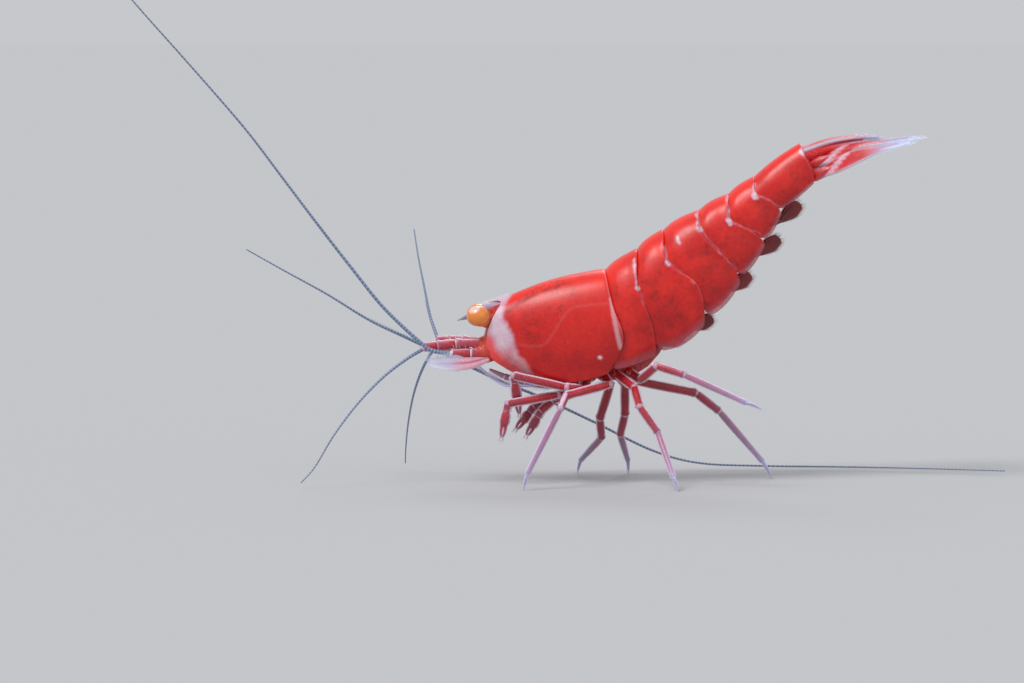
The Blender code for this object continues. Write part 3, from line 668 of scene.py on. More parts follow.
def plate(segment):
    """One shell plate: a grid's x becomes the place round the back, its y that along it."""
    front, rear, widths, _, _ = SEGMENTS[segment]
    head = segment == "carapace"
    # Rough lengths along and round the plate are enough to space its vertices.
    length = (Vector(rear[1]) - Vector(front[1])).length
    arc = 2.6 * max(widths) + 2.0 * (Vector(front[0]) - Vector(front[-1])).length
    bm = new_bmesh()
    bmesh.ops.create_grid(bm, x_segments=int(arc / PLATE_STEP),
                          y_segments=int(length / PLATE_STEP), size=1.0)
    for vert in bm.verts:
        a, t = vert.co.x, 0.5 * (vert.co.y + 1.0)
        if head:
            point_share = max(1.0 - abs(a) / BEAK_HALF, 0.0) ** 1.7
            t -= BEAK * point_share * (1.0 - blur_step(0.0, 0.35, t))
        else:
            t = t * (1.0 + HIDDEN) - HIDDEN
        lobe = max((abs(a) - LOBE_FROM) / LOBE_ARC, 0.0) ** 2.5
        t -= 0.4 * CORNER * lobe * t * t if head else CORNER * lobe * (2.0 * t - 1.0)
        size = 1.0 if head else TUCKED + (1.0 - TUCKED) * blur_step(-0.05, 0.34, t)
        size += (FLARE - 1.0) * blur_step(0.70, 0.97, t) - 0.010 * blur_step(0.97, 1.0, t)
        vert.co = trunk_point(segment, t, a, size)
        shares = carapace_paint(vert.co, t, a) if head else abdomen_paint(vert.co, t, a)
        paint(bm, vert, **shares)
    bmesh.ops.recalc_face_normals(bm, faces=bm.faces)
    settle(segment + "_shell", bm, SHELL, [segment], PLATE_WALL)


for segment_name in SEGMENTS:
    plate(segment_name)

# %% [markdown]
# ## The body inside the shell
# Between and under the plates shows the soft body: the trunk, the plate that carries the legs,
# a root for every leg, the folded jaws, and the knobs that carry feelers and eyes.  Each is
# written as a few places with a size at each, which is all that a tube needs.

# %% The forms under the skin
COXA_Y = 0.62             # distance of the limbs' roots from the middle plane
COXA_RADIUS, COXA_LIFT = 0.38, 0.16       # of the ball that is drawn at each root
# (x, z) of each limb's root
COXA = {"maxilliped": (-4.70, 6.54), "leg_1": (-3.75, 6.49), "leg_2": (-3.00, 6.47),
        "leg_3": (-2.25, 6.51), "leg_4": (-1.50, 6.58), "leg_5": (-0.66, 6.66)}
# x, top, bottom and half width of the plate that carries the legs
STERNUM = [(-5.9, 6.93, 6.70, 0.50), (-4.4, 6.97, 6.55, 0.75), (-2.8, 7.22, 6.50, 0.88),
           (-1.5, 7.60, 6.62, 0.88), (-0.4, 8.12, 6.72, 0.85), (0.1, 8.35, 7.05, 0.70),
           (0.8, 8.75, 7.80, 0.50), (1.4, 9.05, 8.60, 0.25)]
# Place from the carapace's front edge, forwards, and size of the rings that close the head.
FACE = [(-0.022, 0.12), (-0.021, 0.38), (-0.018, 0.62), (-0.012, 0.83), (0.000, 0.955),
        (0.015, 0.995), (0.045, 0.985), (0.09, 0.95)]
# The knob that carries the long feeler and its scale, as (x, y, z) and its half sizes.
KNOBS = [(-8.70, 0.60, 8.15), (-9.12, 0.78, 8.12), (-9.45, 0.96, 8.05), (-9.72, 1.03, 7.99),
         (-9.95, 1.05, 7.95)]
KNOB_SIZES = [(0.30, 0.50), (0.36, 0.62), (0.47, 0.64), (0.45, 0.55), (0.33, 0.40)]
# The short feelers' sockets, drawn the same way.
SOCKETS = [(-8.90, 0.42, 8.55), (-9.50, 0.46, 8.55), (-9.85, 0.47, 8.53)]
SOCKET_SIZES = [(0.46, 0.50), (0.46, 0.48), (0.37, 0.38)]
EYE_BRIDGE = [(-9.20, -0.85, 10.05), (-9.30, 0.0, 10.02), (-9.20, 0.85, 10.05)]
EYE_BRIDGE_SIZE = 0.38
# The ridge under the shell's point, drawn as the knobs are.
BROW = [(-8.10, 0.0, 10.95), (-8.75, 0.0, 10.72), (-9.25, 0.0, 10.42)]
BROW_SIZES = [(0.75, 0.32), (0.55, 0.36), (0.25, 0.25)]
# x, z, half width and half height of the folded jaws
JAWS = [(-8.2, 7.12, 0.16, 0.10), (-7.5, 6.95, 0.36, 0.20), (-6.4, 6.85, 0.36, 0.14)]
print("limb roots:", 2 * len(COXA))

# %% [markdown]
# ## One skin
# Skin has no seams where a leg or a knob begins.  So the closed forms are only pushed into each
# other, and a voxel Remesh melts them into a single surface, which a Smooth modifier then
# softens.  Voxels of this size keep the shape of the jaws without far too many faces.

# %% Melt the forms into one skin
BELLY = 0.90              # depth of the soft belly, as a share of the shell's
SKIN_VOXEL = 0.07
HEAD_RINGS = (0.2, 0.45, 0.7, 0.95)       # where rings stand along the carapace,
RINGS = (0.15, 0.55, 0.95)                # and along each abdomen segment
BODY_SIZE = 0.90          # size of those rings, as a share of the shell's
LAST_RING = (1.03, 0.80)  # place and size of the ring that closes the tail's end


def body_ring(bm, segment, t, size, sides=28):
    """One loop round the trunk, closed under the belly."""
    spots = ring(bm, Vector(), Vector((1, 0, 0)), Vector((0, 1, 0)), 1.0, 1.0, sides)
    for vert, x, y in spots:
        turn = math.atan2(x, y) / math.pi
        a = math.copysign(min(abs(turn) * 1.25, 1.0) * BELLY, turn)
        point = trunk_point(segment, t, a, size)
        point.y *= 1.0 - blur_step(0.80, 1.0, abs(turn))
        vert.co = point
    return ring_edges(spots)


def soft_body():
    """The trunk as one long tube, with all the other forms pushed into it."""
    bm = new_bmesh()
    loops = [body_ring(bm, "carapace", t, size) for t, size in FACE]
    for segment in SEGMENTS:
        stations = HEAD_RINGS if segment == "carapace" else RINGS
        loops += [body_ring(bm, segment, t, BODY_SIZE) for t in stations]
    loops.append(body_ring(bm, "abdomen_6", *LAST_RING))
    for near, far in zip(loops, loops[1:]):
        bmesh.ops.bridge_loops(bm, edges=near + far)
    bmesh.ops.holes_fill(bm, edges=bm.edges)
    tube(bm, [Vector((x, 0, 0.5 * (top + low) + 0.15)) for x, top, low, _ in STERNUM],
         [(half, 0.5 * (top - low) + 0.15) for _, top, low, half in STERNUM], SIDEWAYS, 16)
    tube(bm, [Vector((x, 0, z)) for x, z, _, _ in JAWS],
         [(wide, high) for _, _, wide, high in JAWS], SIDEWAYS, 14)
    for side in SIDES:
        tube(bm, [outward(place, side) for place in KNOBS], KNOB_SIZES, SIDEWAYS, 20)
        tube(bm, [outward(place, side) for place in SOCKETS], SOCKET_SIZES, SIDEWAYS, 20)
    tube(bm, [Vector(place) for place in BROW], BROW_SIZES, SIDEWAYS, 20)
    tube(bm, [through(EYE_BRIDGE, i / 8) for i in range(9)], [(EYE_BRIDGE_SIZE,) * 2] * 9,
         Vector((1, 0, 0)), 16)
    for x, z in COXA.values():
        for y in (-COXA_Y, COXA_Y):
            bmesh.ops.create_uvsphere(bm, u_segments=16, v_segments=10, radius=COXA_RADIUS,
                                      matrix=Matrix.Translation((x, y, z + COXA_LIFT)))
    bmesh.ops.recalc_face_normals(bm, faces=bm.faces)
    piece = settle("soft_body", bm, SKIN, ["sternum", "mouthparts"])
    skin = piece.modifiers.new("one skin", "REMESH")
    skin.mode = "VOXEL"
    skin.voxel_size = SKIN_VOXEL * MM
    skin.use_smooth_shade = True
    soften = piece.modifiers.new("soften", "SMOOTH")
    soften.factor = 0.6
    soften.iterations = 4


soft_body()

# %% [markdown]
# ## Limbs
# A shrimp's limb is a chain of tubes.  Each one is slim where it starts, swells, and flares
# into a collar round the next.  The red flesh shows through the middle of a tube, and its two
# edges are milky, partly from clear cuticle and partly as a painted highlight of light coming
# through it, so the paint follows the tube's own height.

# %% One length of a limb
# Shares of a length, and the tube's size there; the last four make the collar.
COLLAR = [(0.0, 0.62), (0.03, 0.80), (0.10, 0.90), (0.30, 0.98), (0.60, 1.0), (0.86, 0.96),
          (0.93, 1.05), (0.98, 1.08), (1.0, 0.96), (1.01, 0.70)]


def limb_shade(edge, blue, deep):
    """Milky along two edges, partly a painted highlight, and at the collar; blue is the colourless
    share at start and end, deep a painted shade.
    """
    def shade(share, x, y):
        # Painted highlight, partly: the tube's top and bottom edges turn pale, as clear cuticle
        # lit from behind.
        rim = blur_step(0.68, 0.94, abs(y)) * edge
        end = blur_step(0.86, 0.93, share)
        here = blue[0] + (blue[1] - blue[0]) * blur_step(0.15, 0.95, share)
        return {"pale": max(rim, 0.80 * end), "blue": here * (0.65 + 0.35 * abs(y)),
                "deep": deep, "low": 0.35}
    return shade


def steady_side(along):
    """Sideways, or forwards for a direction that itself points sideways."""
    return SIDEWAYS if abs(along.y) < 0.9 else Vector((1, 0, 0))


def length_of_limb(bm, start, end, thick, thin, shade, flat=0.86, sides=14):
    """A tube from joint to joint, with a collar round the next one."""
    start, end = Vector(start), Vector(end)
    along = (end - start).normalized()
    path = [start + (end - start) * share for share, _ in COLLAR]
    sizes = []
    for share, size in COLLAR:
        radius = thick + (thin - thick) * share
        sizes.append((flat * size * radius, size * radius))
    tube(bm, path, sizes, steady_side(along), sides, shade)


def knuckle(bm, place, radius, **shares):
    """A small milky ball where two lengths of a limb meet."""
    made = bmesh.ops.create_uvsphere(bm, u_segments=12, v_segments=8, radius=radius,
                                     matrix=Matrix.Translation(place))["verts"]
    for vert in made:
        paint(bm, vert, **shares)


# %% [markdown]
# ## Legs
# A shrimp has five pairs of legs.  The first two pairs end in claws, and the last three carry
# the animal.  In this pose no two of them stand alike, so each leg has its own joints.  Their
# y counts outwards from the middle plane, which lets one function build both sides.

# %% The places of the legs' joints
LEGS = {
    ("leg_1", "left"): [(-4.15, 0.80, 5.85), (-4.95, 1.35, 5.54), (-8.07, 1.80, 5.02)],
    ("leg_1", "right"): [(-4.10, 0.55, 5.60), (-5.32, 0.58, 5.05), (-6.02, 0.64, 4.42)],
    ("leg_2", "left"): [(-3.50, 1.30, 5.90), (-4.50, 1.98, 6.02), (-7.70, 2.00, 6.74)],
    ("leg_2", "right"): [(-3.45, 1.20, 5.85), (-4.95, 1.55, 5.30), (-6.45, 1.60, 4.60)],
    ("leg_3", "left"): [(-1.85, 1.30, 6.18), (-4.52, 2.40, 5.56), (-4.89, 4.05, 4.88),
                        (-6.90, 4.75, 0.95), (-7.12, 4.80, 0.0)],
    ("leg_3", "right"): [(-1.76, 1.35, 5.95), (-2.38, 2.70, 3.80), (-2.25, 3.90, 2.50),
                         (-3.50, 6.90, 0.85), (-3.70, 7.25, 0.0)],
    ("leg_4", "left"): [(-0.38, 1.90, 6.02), (-0.08, 3.10, 4.95), (1.01, 3.50, 3.42),
                        (1.92, 5.40, 0.80), (2.20, 5.60, 0.0)],
    ("leg_4", "right"): [(-0.86, 1.50, 6.00), (-0.82, 2.75, 4.05), (-1.10, 3.80, 2.70),
                         (-0.55, 6.70, 0.85), (-0.50, 7.05, 0.0)],
    ("leg_5", "left"): [(0.00, 1.05, 6.42), (0.92, 3.60, 7.45), (2.57, 4.10, 6.95),
                        (6.30, 4.60, 5.28), (7.25, 4.70, 4.88)],
    ("leg_5", "right"): [(-0.25, 1.00, 6.22), (3.50, 1.95, 5.42), (4.94, 2.35, 4.28),
                         (7.68, 3.00, 1.10), (8.30, 3.10, 0.0)],
}
CLAW_TIPS = {("leg_1", "left"): (-8.43, 1.80, 2.95), ("leg_1", "right"): (-6.90, 0.78, 2.87),
             ("leg_2", "left"): (-7.35, 0.60, 4.30), ("leg_2", "right"): (-7.55, 1.60, 3.20)}
print("legs:", len(LEGS), "of them with claws:", len(CLAW_TIPS))

# %% [markdown]
# ## Feet and the legs' bristles
# A walking leg ends in a single hooked toe with a few strong bristles behind it.  Sparse short
# ones stand along the legs' lower edges, each at a slightly random place, since even spacing
# would look like a comb.  The random numbers start from the leg's own name, so every run gives
# the same legs.

# %% Feet and sparse bristles
WALKER_RADII = (0.30, 0.30, 0.28, 0.25, 0.17, 0.10)
CLAWED_RADII = (0.30, 0.29, 0.29, 0.27, 0.26)
WRIST = 0.40              # length of the arm past its last joint, towards the claw
FAR_SIDE_PAINTED_SHADE = 0.30           # painted shade on the far side's limbs, which stand in the body's shade
CLAWED_HAIRS = 30         # bristles on a length of a clawed leg,
WALKER_HAIRS = 14         # of a walking leg,
ROOT_HAIRS = 2            # and of any leg's first length
FOOT_BRISTLES = 4
# Colourless share at the start and end of each length of a walking leg,
WALKER_BLUE = [(0.0, 0.0), (0.0, 0.05), (0.05, 0.20), (0.40, 0.95), (0.90, 1.0)]
# and of a clawed one.
CLAWED_BLUE = [(0.0, 0.0), (0.0, 0.05), (0.0, 0.10), (0.05, 0.15)]


def foot(bm, hairs, ankle, tip, radius, shade):
    """The last, pointed length of a walking leg, bent a little and ending in a hook."""
    ankle, tip = Vector(ankle), Vector(tip)
    bend = Vector((0.0, 0.0, 0.06))
    path = [ankle, ankle.lerp(tip, 0.35) + bend, ankle.lerp(tip, 0.72) + 0.7 * bend, tip]
    sizes = [(radius * size, radius * size) for size in (0.9, 0.85, 0.6, 0.16)]
    # A toe may point straight sideways, so its axis is tipped a little.
    tube(bm, path, sizes, Vector((0, 1, 0.01)), 10, shade)
    along = (tip - ankle).normalized()
    for i in range(FOOT_BRISTLES):
        root = ankle.lerp(tip, 0.30 + 0.16 * i)
        out = Vector((along.z, 0.0, -along.x)) * 0.16 + along * 0.12
        bristle(hairs, root, root + out, 0.022, 0.9 + 0.02 * i, blue=0.8)


def hairs_along(start, end, radius, rng, count, length, down=1.0):
    """Sparse short bristles: on a limb's lower edge where down is 1, on both where it is 0."""
    hairs = coat("limb")
    start, end = Vector(start), Vector(end)
    along = (end - start).normalized()
    side = steady_side(along)
    over = (side - along * side.dot(along)).normalized().cross(along)
    for i in range(count):
        share = (i + rng.uniform(0.2, 0.8)) / count
        edge = over if rng.random() > 0.5 * (1.0 + down) else -over
        if over.z < 0:
            edge = -edge
        root = start + (end - start) * share + edge * radius * 0.85
        tip = root + edge * length * rng.uniform(0.6, 1.0) + along * length * 0.5
        bristle(hairs, root, tip, 0.018, share, pale=0.4)


# %% Build the legs
def make_leg(leg, side):
    """One leg, from its root under the body to its toe or its wrist."""
    rng = random.Random(f"{leg} {side}")
    x, z = COXA[leg]
    joints = [outward((x, COXA_Y, z + 0.25), side)]
    joints += [outward(place, side) for place in LEGS[(leg, side)]]
    clawed = (leg, side) in CLAW_TIPS
    if clawed:
        tip = outward(CLAW_TIPS[(leg, side)], side)
        joints.append(joints[-1] + (tip - joints[-1]).normalized() * WRIST)
    radii, blues, count = WALKER_RADII, WALKER_BLUE, WALKER_HAIRS
    if clawed:
        radii, blues, count = CLAWED_RADII, CLAWED_BLUE, CLAWED_HAIRS
    # The far side's legs are darkened with painted shade.
    deep = FAR_SIDE_PAINTED_SHADE if side == "right" else 0.0
    bm = new_bmesh()
    lengths = list(zip(joints, joints[1:], radii, radii[1:]))
    last = len(lengths) - 1
    for i, (start, end, thick, thin) in enumerate(lengths):
        # The near side's edges get a stronger painted highlight than the far side's.
        shade = limb_shade(0.95 if side == "left" else 0.60, blues[i], deep)
        if i == last and not clawed:
            foot(bm, coat("limb"), start, end, thin * 1.35, shade)
            continue
        length_of_limb(bm, start, end, thick, thin, shade)
        knuckle(bm, end, 0.84 * thin, pale=0.45, blue=blues[i][1], low=0.3)
        hairs_along(start, end, 0.5 * (thick + thin), rng, count if i else ROOT_HAIRS, 0.13)
    bmesh.ops.recalc_face_normals(bm, faces=bm.faces)
    settle(f"{leg}_{side}_limb", bm, LIMB, [f"{leg}_{side}"])


for leg_name, leg_side in LEGS:
    make_leg(leg_name, leg_side)

# %% [markdown]
# ## Claws
# The two front pairs of legs end in small pincers that brush food off leaves: a palm, two
# spoon-like fingers, and a thick brush of bristles on each finger's tip.

# %% Build the claws
# The palm as (share of the claw's length, half width, half height), and a finger as (share,
# distance from the middle, half width, half height).
PALM = [(0.02, 0.20, 0.22), (0.08, 0.25, 0.28), (0.22, 0.27, 0.34), (0.42, 0.27, 0.35),
        (0.54, 0.22, 0.28), (0.60, 0.12, 0.16)]
FINGER = [(0.44, 0.10, 0.16, 0.13), (0.62, 0.13, 0.15, 0.12), (0.78, 0.12, 0.13, 0.10),
          (0.92, 0.08, 0.10, 0.08), (1.00, 0.04, 0.05, 0.04)]
TUFT = 34                 # bristles on a finger's tip


def make_claw(leg, side):
    """A palm and two fingers, from the wrist that the leg ends in to the claw's tip."""
    rng = random.Random(f"claw {leg} {side}")
    knee = outward(LEGS[(leg, side)][-1], side)
    tip = outward(CLAW_TIPS[(leg, side)], side)
    along = (tip - knee).normalized()
    wrist = knee + along * WRIST
    length = (tip - wrist).length
    across = (Vector((0, 1, 0)) - along * along.y).normalized()
    deep_way = across.cross(along)
    # The far side's claws are darkened with painted shade.
    shade = limb_shade(0.85, (0.05, 0.25), FAR_SIDE_PAINTED_SHADE if side == "right" else 0.0)
    bm = new_bmesh()
    tube(bm, [wrist + along * length * share for share, _, _ in PALM],
         [(wide, high) for _, wide, high in PALM], across, 14,
         lambda share, x, y: shade(0.5 * share, x, y))
    for sign in (-1.0, 1.0):
        path = [wrist + along * length * share + deep_way * sign * off
                for share, off, _, _ in FINGER]
        tube(bm, path, [(wide, high) for _, _, wide, high in FINGER], across, 10, shade)
        hairs = coat("limb")
        for i in range(TUFT):
            start = path[-1] - along * rng.uniform(0.0, 0.22) + deep_way * sign * 0.03
            way = (along + deep_way * sign * rng.uniform(-0.15, 0.35)
                   + across * rng.uniform(-0.30, 0.30)).normalized()
            bristle(hairs, start, start + way * rng.uniform(0.25, 0.45), 0.012, i / TUFT,
                    pale=0.4)
    bmesh.ops.recalc_face_normals(bm, faces=bm.faces)
    name = leg.replace("leg", "claw") + "_" + side
    settle(name + "_pincer", bm, LIMB, [name])


for leg_name, leg_side in CLAW_TIPS:
    make_claw(leg_name, leg_side)

# %% [markdown]
# ## Mouth limbs
# Under the head a pair of slim, folded limbs guards the mouth.  Their ends are colourless and
# fringed with hairs, and reach just past the shell.

# %% Maxillipeds
# Their joints, and the line of the outer branch; y counts outwards.
OUTER_BRANCH = [(-5.90, 0.58, 6.08), (-7.10, 0.80, 6.04), (-8.20, 0.88, 6.05), (-9.10, 0.88, 6.55),
                (-9.85, 0.82, 7.20)]
MAXILLIPED = [(-5.40, 0.60, 6.02), (-7.00, 0.50, 6.20), (-8.25, 0.44, 6.55), (-9.15, 0.42, 6.98)]


def branch_shade(share, x, y):
    # Pale at the top and bottom edges, partly a painted highlight.
    return {"blue": 1.0, "pale": 0.3 * abs(y)}


def make_maxilliped(side):
    """A tapering chain of lengths, and a fringed outer branch beside it."""
    rng = random.Random("maxilliped " + side)
    x, z = COXA["maxilliped"]
    joints = [outward((x, COXA_Y, z + 0.2), side)] + [outward(p, side) for p in MAXILLIPED]
    bm = new_bmesh()
    for i, (start, end) in enumerate(zip(joints, joints[1:])):
        thick = 0.27 - 0.035 * i
        thin = thick - (0.03 if i < len(MAXILLIPED) - 1 else 0.11)
        shade = limb_shade(0.8, (0.15 * i, 0.15 * i + 0.1), 0.1)
        length_of_limb(bm, start, end, thick, thin, shade)
        knuckle(bm, end, 0.8 * thin, pale=0.7, blue=0.3 * i)
        hairs_along(start, end, thick, rng, 12, 0.30)
    branch = [outward(place, side) for place in OUTER_BRANCH]
    path = [through(branch, i / 16) for i in range(17)]
    tube(bm, path, [(0.09 - 0.004 * i if i else 0.03,) * 2 for i in range(17)],
         SIDEWAYS, 10, branch_shade)
    hairs = coat("limb")
    for i in range(11, 17):
        for sign in (-1.0, 1.0):
            tip = path[i] + Vector((-0.30, 0.10 * sign, 0.12 * sign + rng.uniform(-0.05, 0.05)))
            bristle(hairs, path[i], tip, 0.012, i / 17, blue=0.5)
    bmesh.ops.recalc_face_normals(bm, faces=bm.faces)
    settle(f"maxilliped_{side}_limb", bm, LIMB, [f"maxilliped_{side}"])


for body_side in SIDES:
    make_maxilliped(body_side)

# %% [markdown]
# ## Thin plates with fringes
# Tail plates, feeler scales and swimming paddles are leaves: pressed tubes with a thicker rib,
# thin clear margins, and a fringe of bristles that stands off the edge like lashes.

# %% Leaves and their fringes
CLEAR_HAIR = {"blue": 0.6}
ROUND_FROM = 0.86         # share of a leaf's length from which its end is rounded,
ROUND_LENGTH = 0.145      # and the length of that rounding


def leaf(bm, places, widths, roll, thick, shade, steps=28, sides=20, tip_roll=None):
    """A pressed tube along a smooth path, turned round it by roll, in radians.

    Gives back what a fringe needs: its middle line, the axes across it and its half sizes.
    """
    path = [through(places, i / steps) for i in range(steps + 1)]
    axes = frames(tangents(path), SIDEWAYS)
    tip_roll = roll if tip_roll is None else tip_roll
    rolls = [roll + (tip_roll - roll) * blur_step(0.0, 0.7, i / steps) for i in range(steps + 1)]
    turned = [a * math.cos(r) + b * math.sin(r) for (a, b), r in zip(axes, rolls)]
    sizes = []
    for i in range(steps + 1):
        beyond = max(i / steps - ROUND_FROM, 0.0) / ROUND_LENGTH
        round_end = math.sqrt(max(1.0 - beyond ** 2, 0.02))
        width = 0.5 * value_through(widths, i / steps) * round_end
        sizes.append((width, thick * (0.35 + 0.65 * (1 - i / steps)) * min(round_end + 0.2, 1.0)))
    tube(bm, path, sizes, SIDEWAYS, sides, shade, turned)
    return path, turned, sizes


def fringe(slot, edge_line, rng, first, sign, gap, length, radius, lean=0.6, **shares):
    """Bristles standing off one margin of a leaf, from a share of its length to its tip."""
    hairs = coat(slot)
    path, across, sizes = edge_line
    count = int((path[-1] - path[0]).length * (1.0 - first) / gap)
    ways = tangents(path)
    for i in range(count):
        share = first + (1.0 - first) * (i + rng.uniform(0, 0.5)) / count
        spot = min(share * (len(path) - 1), len(path) - 1.001)
        index, f = int(spot), spot % 1.0
        centre = path[index].lerp(path[index + 1], f)
        wide = sizes[index][0] + (sizes[index + 1][0] - sizes[index][0]) * f
        out = across[index] * sign
        turn = blur_step(0.80, 1.0, share)
        way = (out * (1.0 - 0.75 * turn) + ways[index] * (lean + 0.8 * turn)).normalized()
        root = centre + out * wide * 0.97
        grow = length * rng.uniform(0.8, 1.0) * blur_step(first - 0.15, first + 0.15, share)
        bristle(hairs, root, root + way * grow, radius, share, **shares)


# %% [markdown]
# ## Tail fan
# The tail ends in a fan: a narrow middle plate with rows of small spines, and two pairs of side
# plates.  Spread, it flicks the shrimp backwards out of danger.  Each plate is a leaf with a
# thick root that reaches into the last segment; each side plate also stands steeply at its
# root, lies nearly flat at its end and has a rib on top.

# %% Sizes and colours of the tail fan
# The visible middle plate starts inside the last segment, so that no gap shows.
TELSON_LINE = [(9.20, 0.0, 20.02), (11.3, 0.0, 20.82), (13.0, 0.0, 21.14), (14.6, 0.0, 21.20)]
TELSON_WIDTHS = (1.50, 1.38, 1.05, 0.55)
# Its thick root, with half widths and half heights.
TELSON_ROOT = [(9.20, 0.0, 19.75), (10.6, 0.0, 20.25), (12.0, 0.0, 20.62), (13.6, 0.0, 20.98)]
TELSON_ROOT_WIDTHS = (0.75, 0.72, 0.58, 0.30)
TELSON_ROOT_HEIGHTS = (0.62, 0.50, 0.30, 0.08)
PLATE_ROOT = 0.95         # distance a side plate's stalk reaches back into the last segment
PLATE_STALK_SIZES = [(0.16, 0.16), (0.30, 0.32), (0.33, 0.32), (0.16, 0.10)]
TELSON_SPINES = (0.38, 0.53, 0.68, 0.82)  # the spines' shares of the plate's length
# Line, widths along it and lean at the root, in degrees, of each side plate.
TAIL_PLATES = {
    "uropod_inner": ([(10.72, 0.42, 19.60), (12.6, 1.08, 20.42), (15.0, 1.15, 20.92),
                      (17.15, 0.85, 21.20)], (0.50, 1.20, 1.42, 0.60), 20.0),
    "uropod_outer": ([(10.92, 0.80, 18.95), (12.6, 2.18, 19.85), (14.5, 2.78, 20.55),
                      (16.3, 2.60, 20.95)], (0.50, 1.30, 1.55, 0.75), 32.0),
}
WIDER = 1.15              # the thin plates are a little wider than their solids
STEEPER = 22.0            # they tip more at the root, in degrees,
TIP_ROLL = 6.0            # and lie almost flat at the end


def fan_shade(clear_from, stripe):
    """Red round the rib, pale at the margins and across one stripe, colourless at the tip."""
    def shade(share, x, y):
        margin = blur_step(0.74, 0.98, abs(x))
        tip = blur_step(clear_from, clear_from + 0.34, share)
        band = stripe * (1.0 - blur_step(0.03, 0.07, abs(share - 0.22 - 0.10 * x)))
        return {"pale": max(0.75 * margin * (1 - 0.5 * tip), band, 0.55 * tip * margin),
                "blue": max(tip, 0.45 * margin), "clear": max(0.85 * tip, 0.6 * margin),
                "low": 0.35, "deep": 0.0}
    return shade


def telson_root_shade(share, x, y):
    return {"low": 0.25, "pale": 0.4 * blur_step(0.5, 1.0, share)}


def stalk_shade(share, x, y):
    # Pale at the top and bottom edges, partly a painted highlight.
    return {"low": 0.3, "pale": 0.5 * blur_step(0.55, 0.8, share) * abs(y)}


def rib_shade(share, x, y):
    return {"low": 0.2, "pale": 0.25 * share}


# %% Build the tail fan
def make_telson(rng):
    """The middle plate, with its root, its fringe and its spines."""
    bm = new_bmesh()
    line = leaf(bm, TELSON_LINE, TELSON_WIDTHS, 0.0, 0.30, fan_shade(0.60, 0.3))
    root_sizes = [(value_through(TELSON_ROOT_WIDTHS, i / 12),
                   value_through(TELSON_ROOT_HEIGHTS, i / 12)) for i in range(13)]
    tube(bm, [through(TELSON_ROOT, i / 12) for i in range(13)], root_sizes, SIDEWAYS, 18,
         telson_root_shade)
    path, across, sizes = line
    for sign in (-1.0, 1.0):
        fringe("tail_fan", line, rng, 0.80, sign, 0.06, 0.40, 0.016, **CLEAR_HAIR)
        for share in TELSON_SPINES:
            i = int(share * (len(path) - 1))
            rise = Vector((0, 0, 0.5 * sizes[i][1]))
            place = path[i] + across[i] * sign * sizes[i][0] * 0.62 + rise
            tooth(bm, place, place + Vector((0.26, 0.0, 0.13)), 0.05)
    bmesh.ops.recalc_face_normals(bm, faces=bm.faces)
    settle("telson_plate", bm, FAN, ["telson"])


def make_tail_plate(name, side, rng):
    """One side plate: a stalk in the last segment, a leaf, its rib and two fringes."""
    places, widths, roll = TAIL_PLATES[name]
    sign = SIDES[side]
    bm = new_bmesh()
    path = [outward(place, side) for place in places]
    back = (path[0] - path[1]).normalized()
    stalk = [path[0] + back * PLATE_ROOT, path[0] + back * 0.4, path[0] - back * 0.4,
             path[0] - back * 1.1]
    tube(bm, stalk, PLATE_STALK_SIZES, SIDEWAYS, 16, stalk_shade)
    line = leaf(bm, path, [WIDER * width for width in widths],
                sign * math.radians(roll + STEEPER), 0.13, fan_shade(0.46, 0.6),
                tip_roll=sign * math.radians(TIP_ROLL))
    rib = [through(path, i / 12) + Vector((0, 0, 0.05)) for i in range(11)]
    tube(bm, rib, [(0.11 - 0.008 * i, 0.10 - 0.007 * i) for i in range(11)], SIDEWAYS, 8,
         rib_shade)
    for edge in (-1.0, 1.0):
        fringe("tail_fan", line, rng, 0.35, edge, 0.055, 0.55, 0.015, **CLEAR_HAIR)
    bmesh.ops.recalc_face_normals(bm, faces=bm.faces)
    settle(f"{name}_{side}_plate", bm, FAN, [f"{name}_{side}"])


tail_rng = random.Random("tail")
make_telson(tail_rng)
for plate_name in TAIL_PLATES:
    for body_side in SIDES:
        make_tail_plate(plate_name, body_side, tail_rng)

# %% [markdown]
# ## Swimming paddles
# Five pairs of paddles hang under the abdomen.  Each has a stem and two soft leaves, and a
# smaller lobe between them.  The leaves are folded back along the belly, as in a shrimp that
# isn't swimming, and each wears a fringe that catches the water.

# %% Paddles
PLATE = 0.50              # thickness of the solids' side plates
TOUCH = 0.04              # gap between a limb and what carries it
CHANNEL_DEPTH = 0.86      # depth of the channel's roof between the side plates
# For each pair, its place along its segment, and how far its leaves hang at the tip.
SWIMMERETS = {1: (0.8, 0.40), 2: (0.4, 0.45), 3: (0.4, 0.50), 4: (0.4, 0.75), 5: (0.4, 0.80)}
SWIMMERET_LENGTH = 1.75
TRAIL = 0.40              # how much further back the leaves trail, along the belly
PADDLE_ROLL = 0.50        # lean of a leaf, in radians; at 0 it is seen edge on from the side
PADDLE_WIDTHS = (0.72, 1.40, 0.85)        # near the stem, at the middle and at the tip
PADDLE_LEAVES = ((0.22, 0.95), (-0.20, 0.85), (0.02, 0.70))   # shift outwards, share of length
STEM_SIZES = [(0.24, 0.22), (0.26, 0.22), (0.16, 0.15)]


def paddle_shade(share, x, y):
    edge = blur_step(0.80, 1.0, abs(x))
    # Painted shade: low darkens the whole paddle.
    return {"pale": 0.25 * edge * share, "low": 0.7}


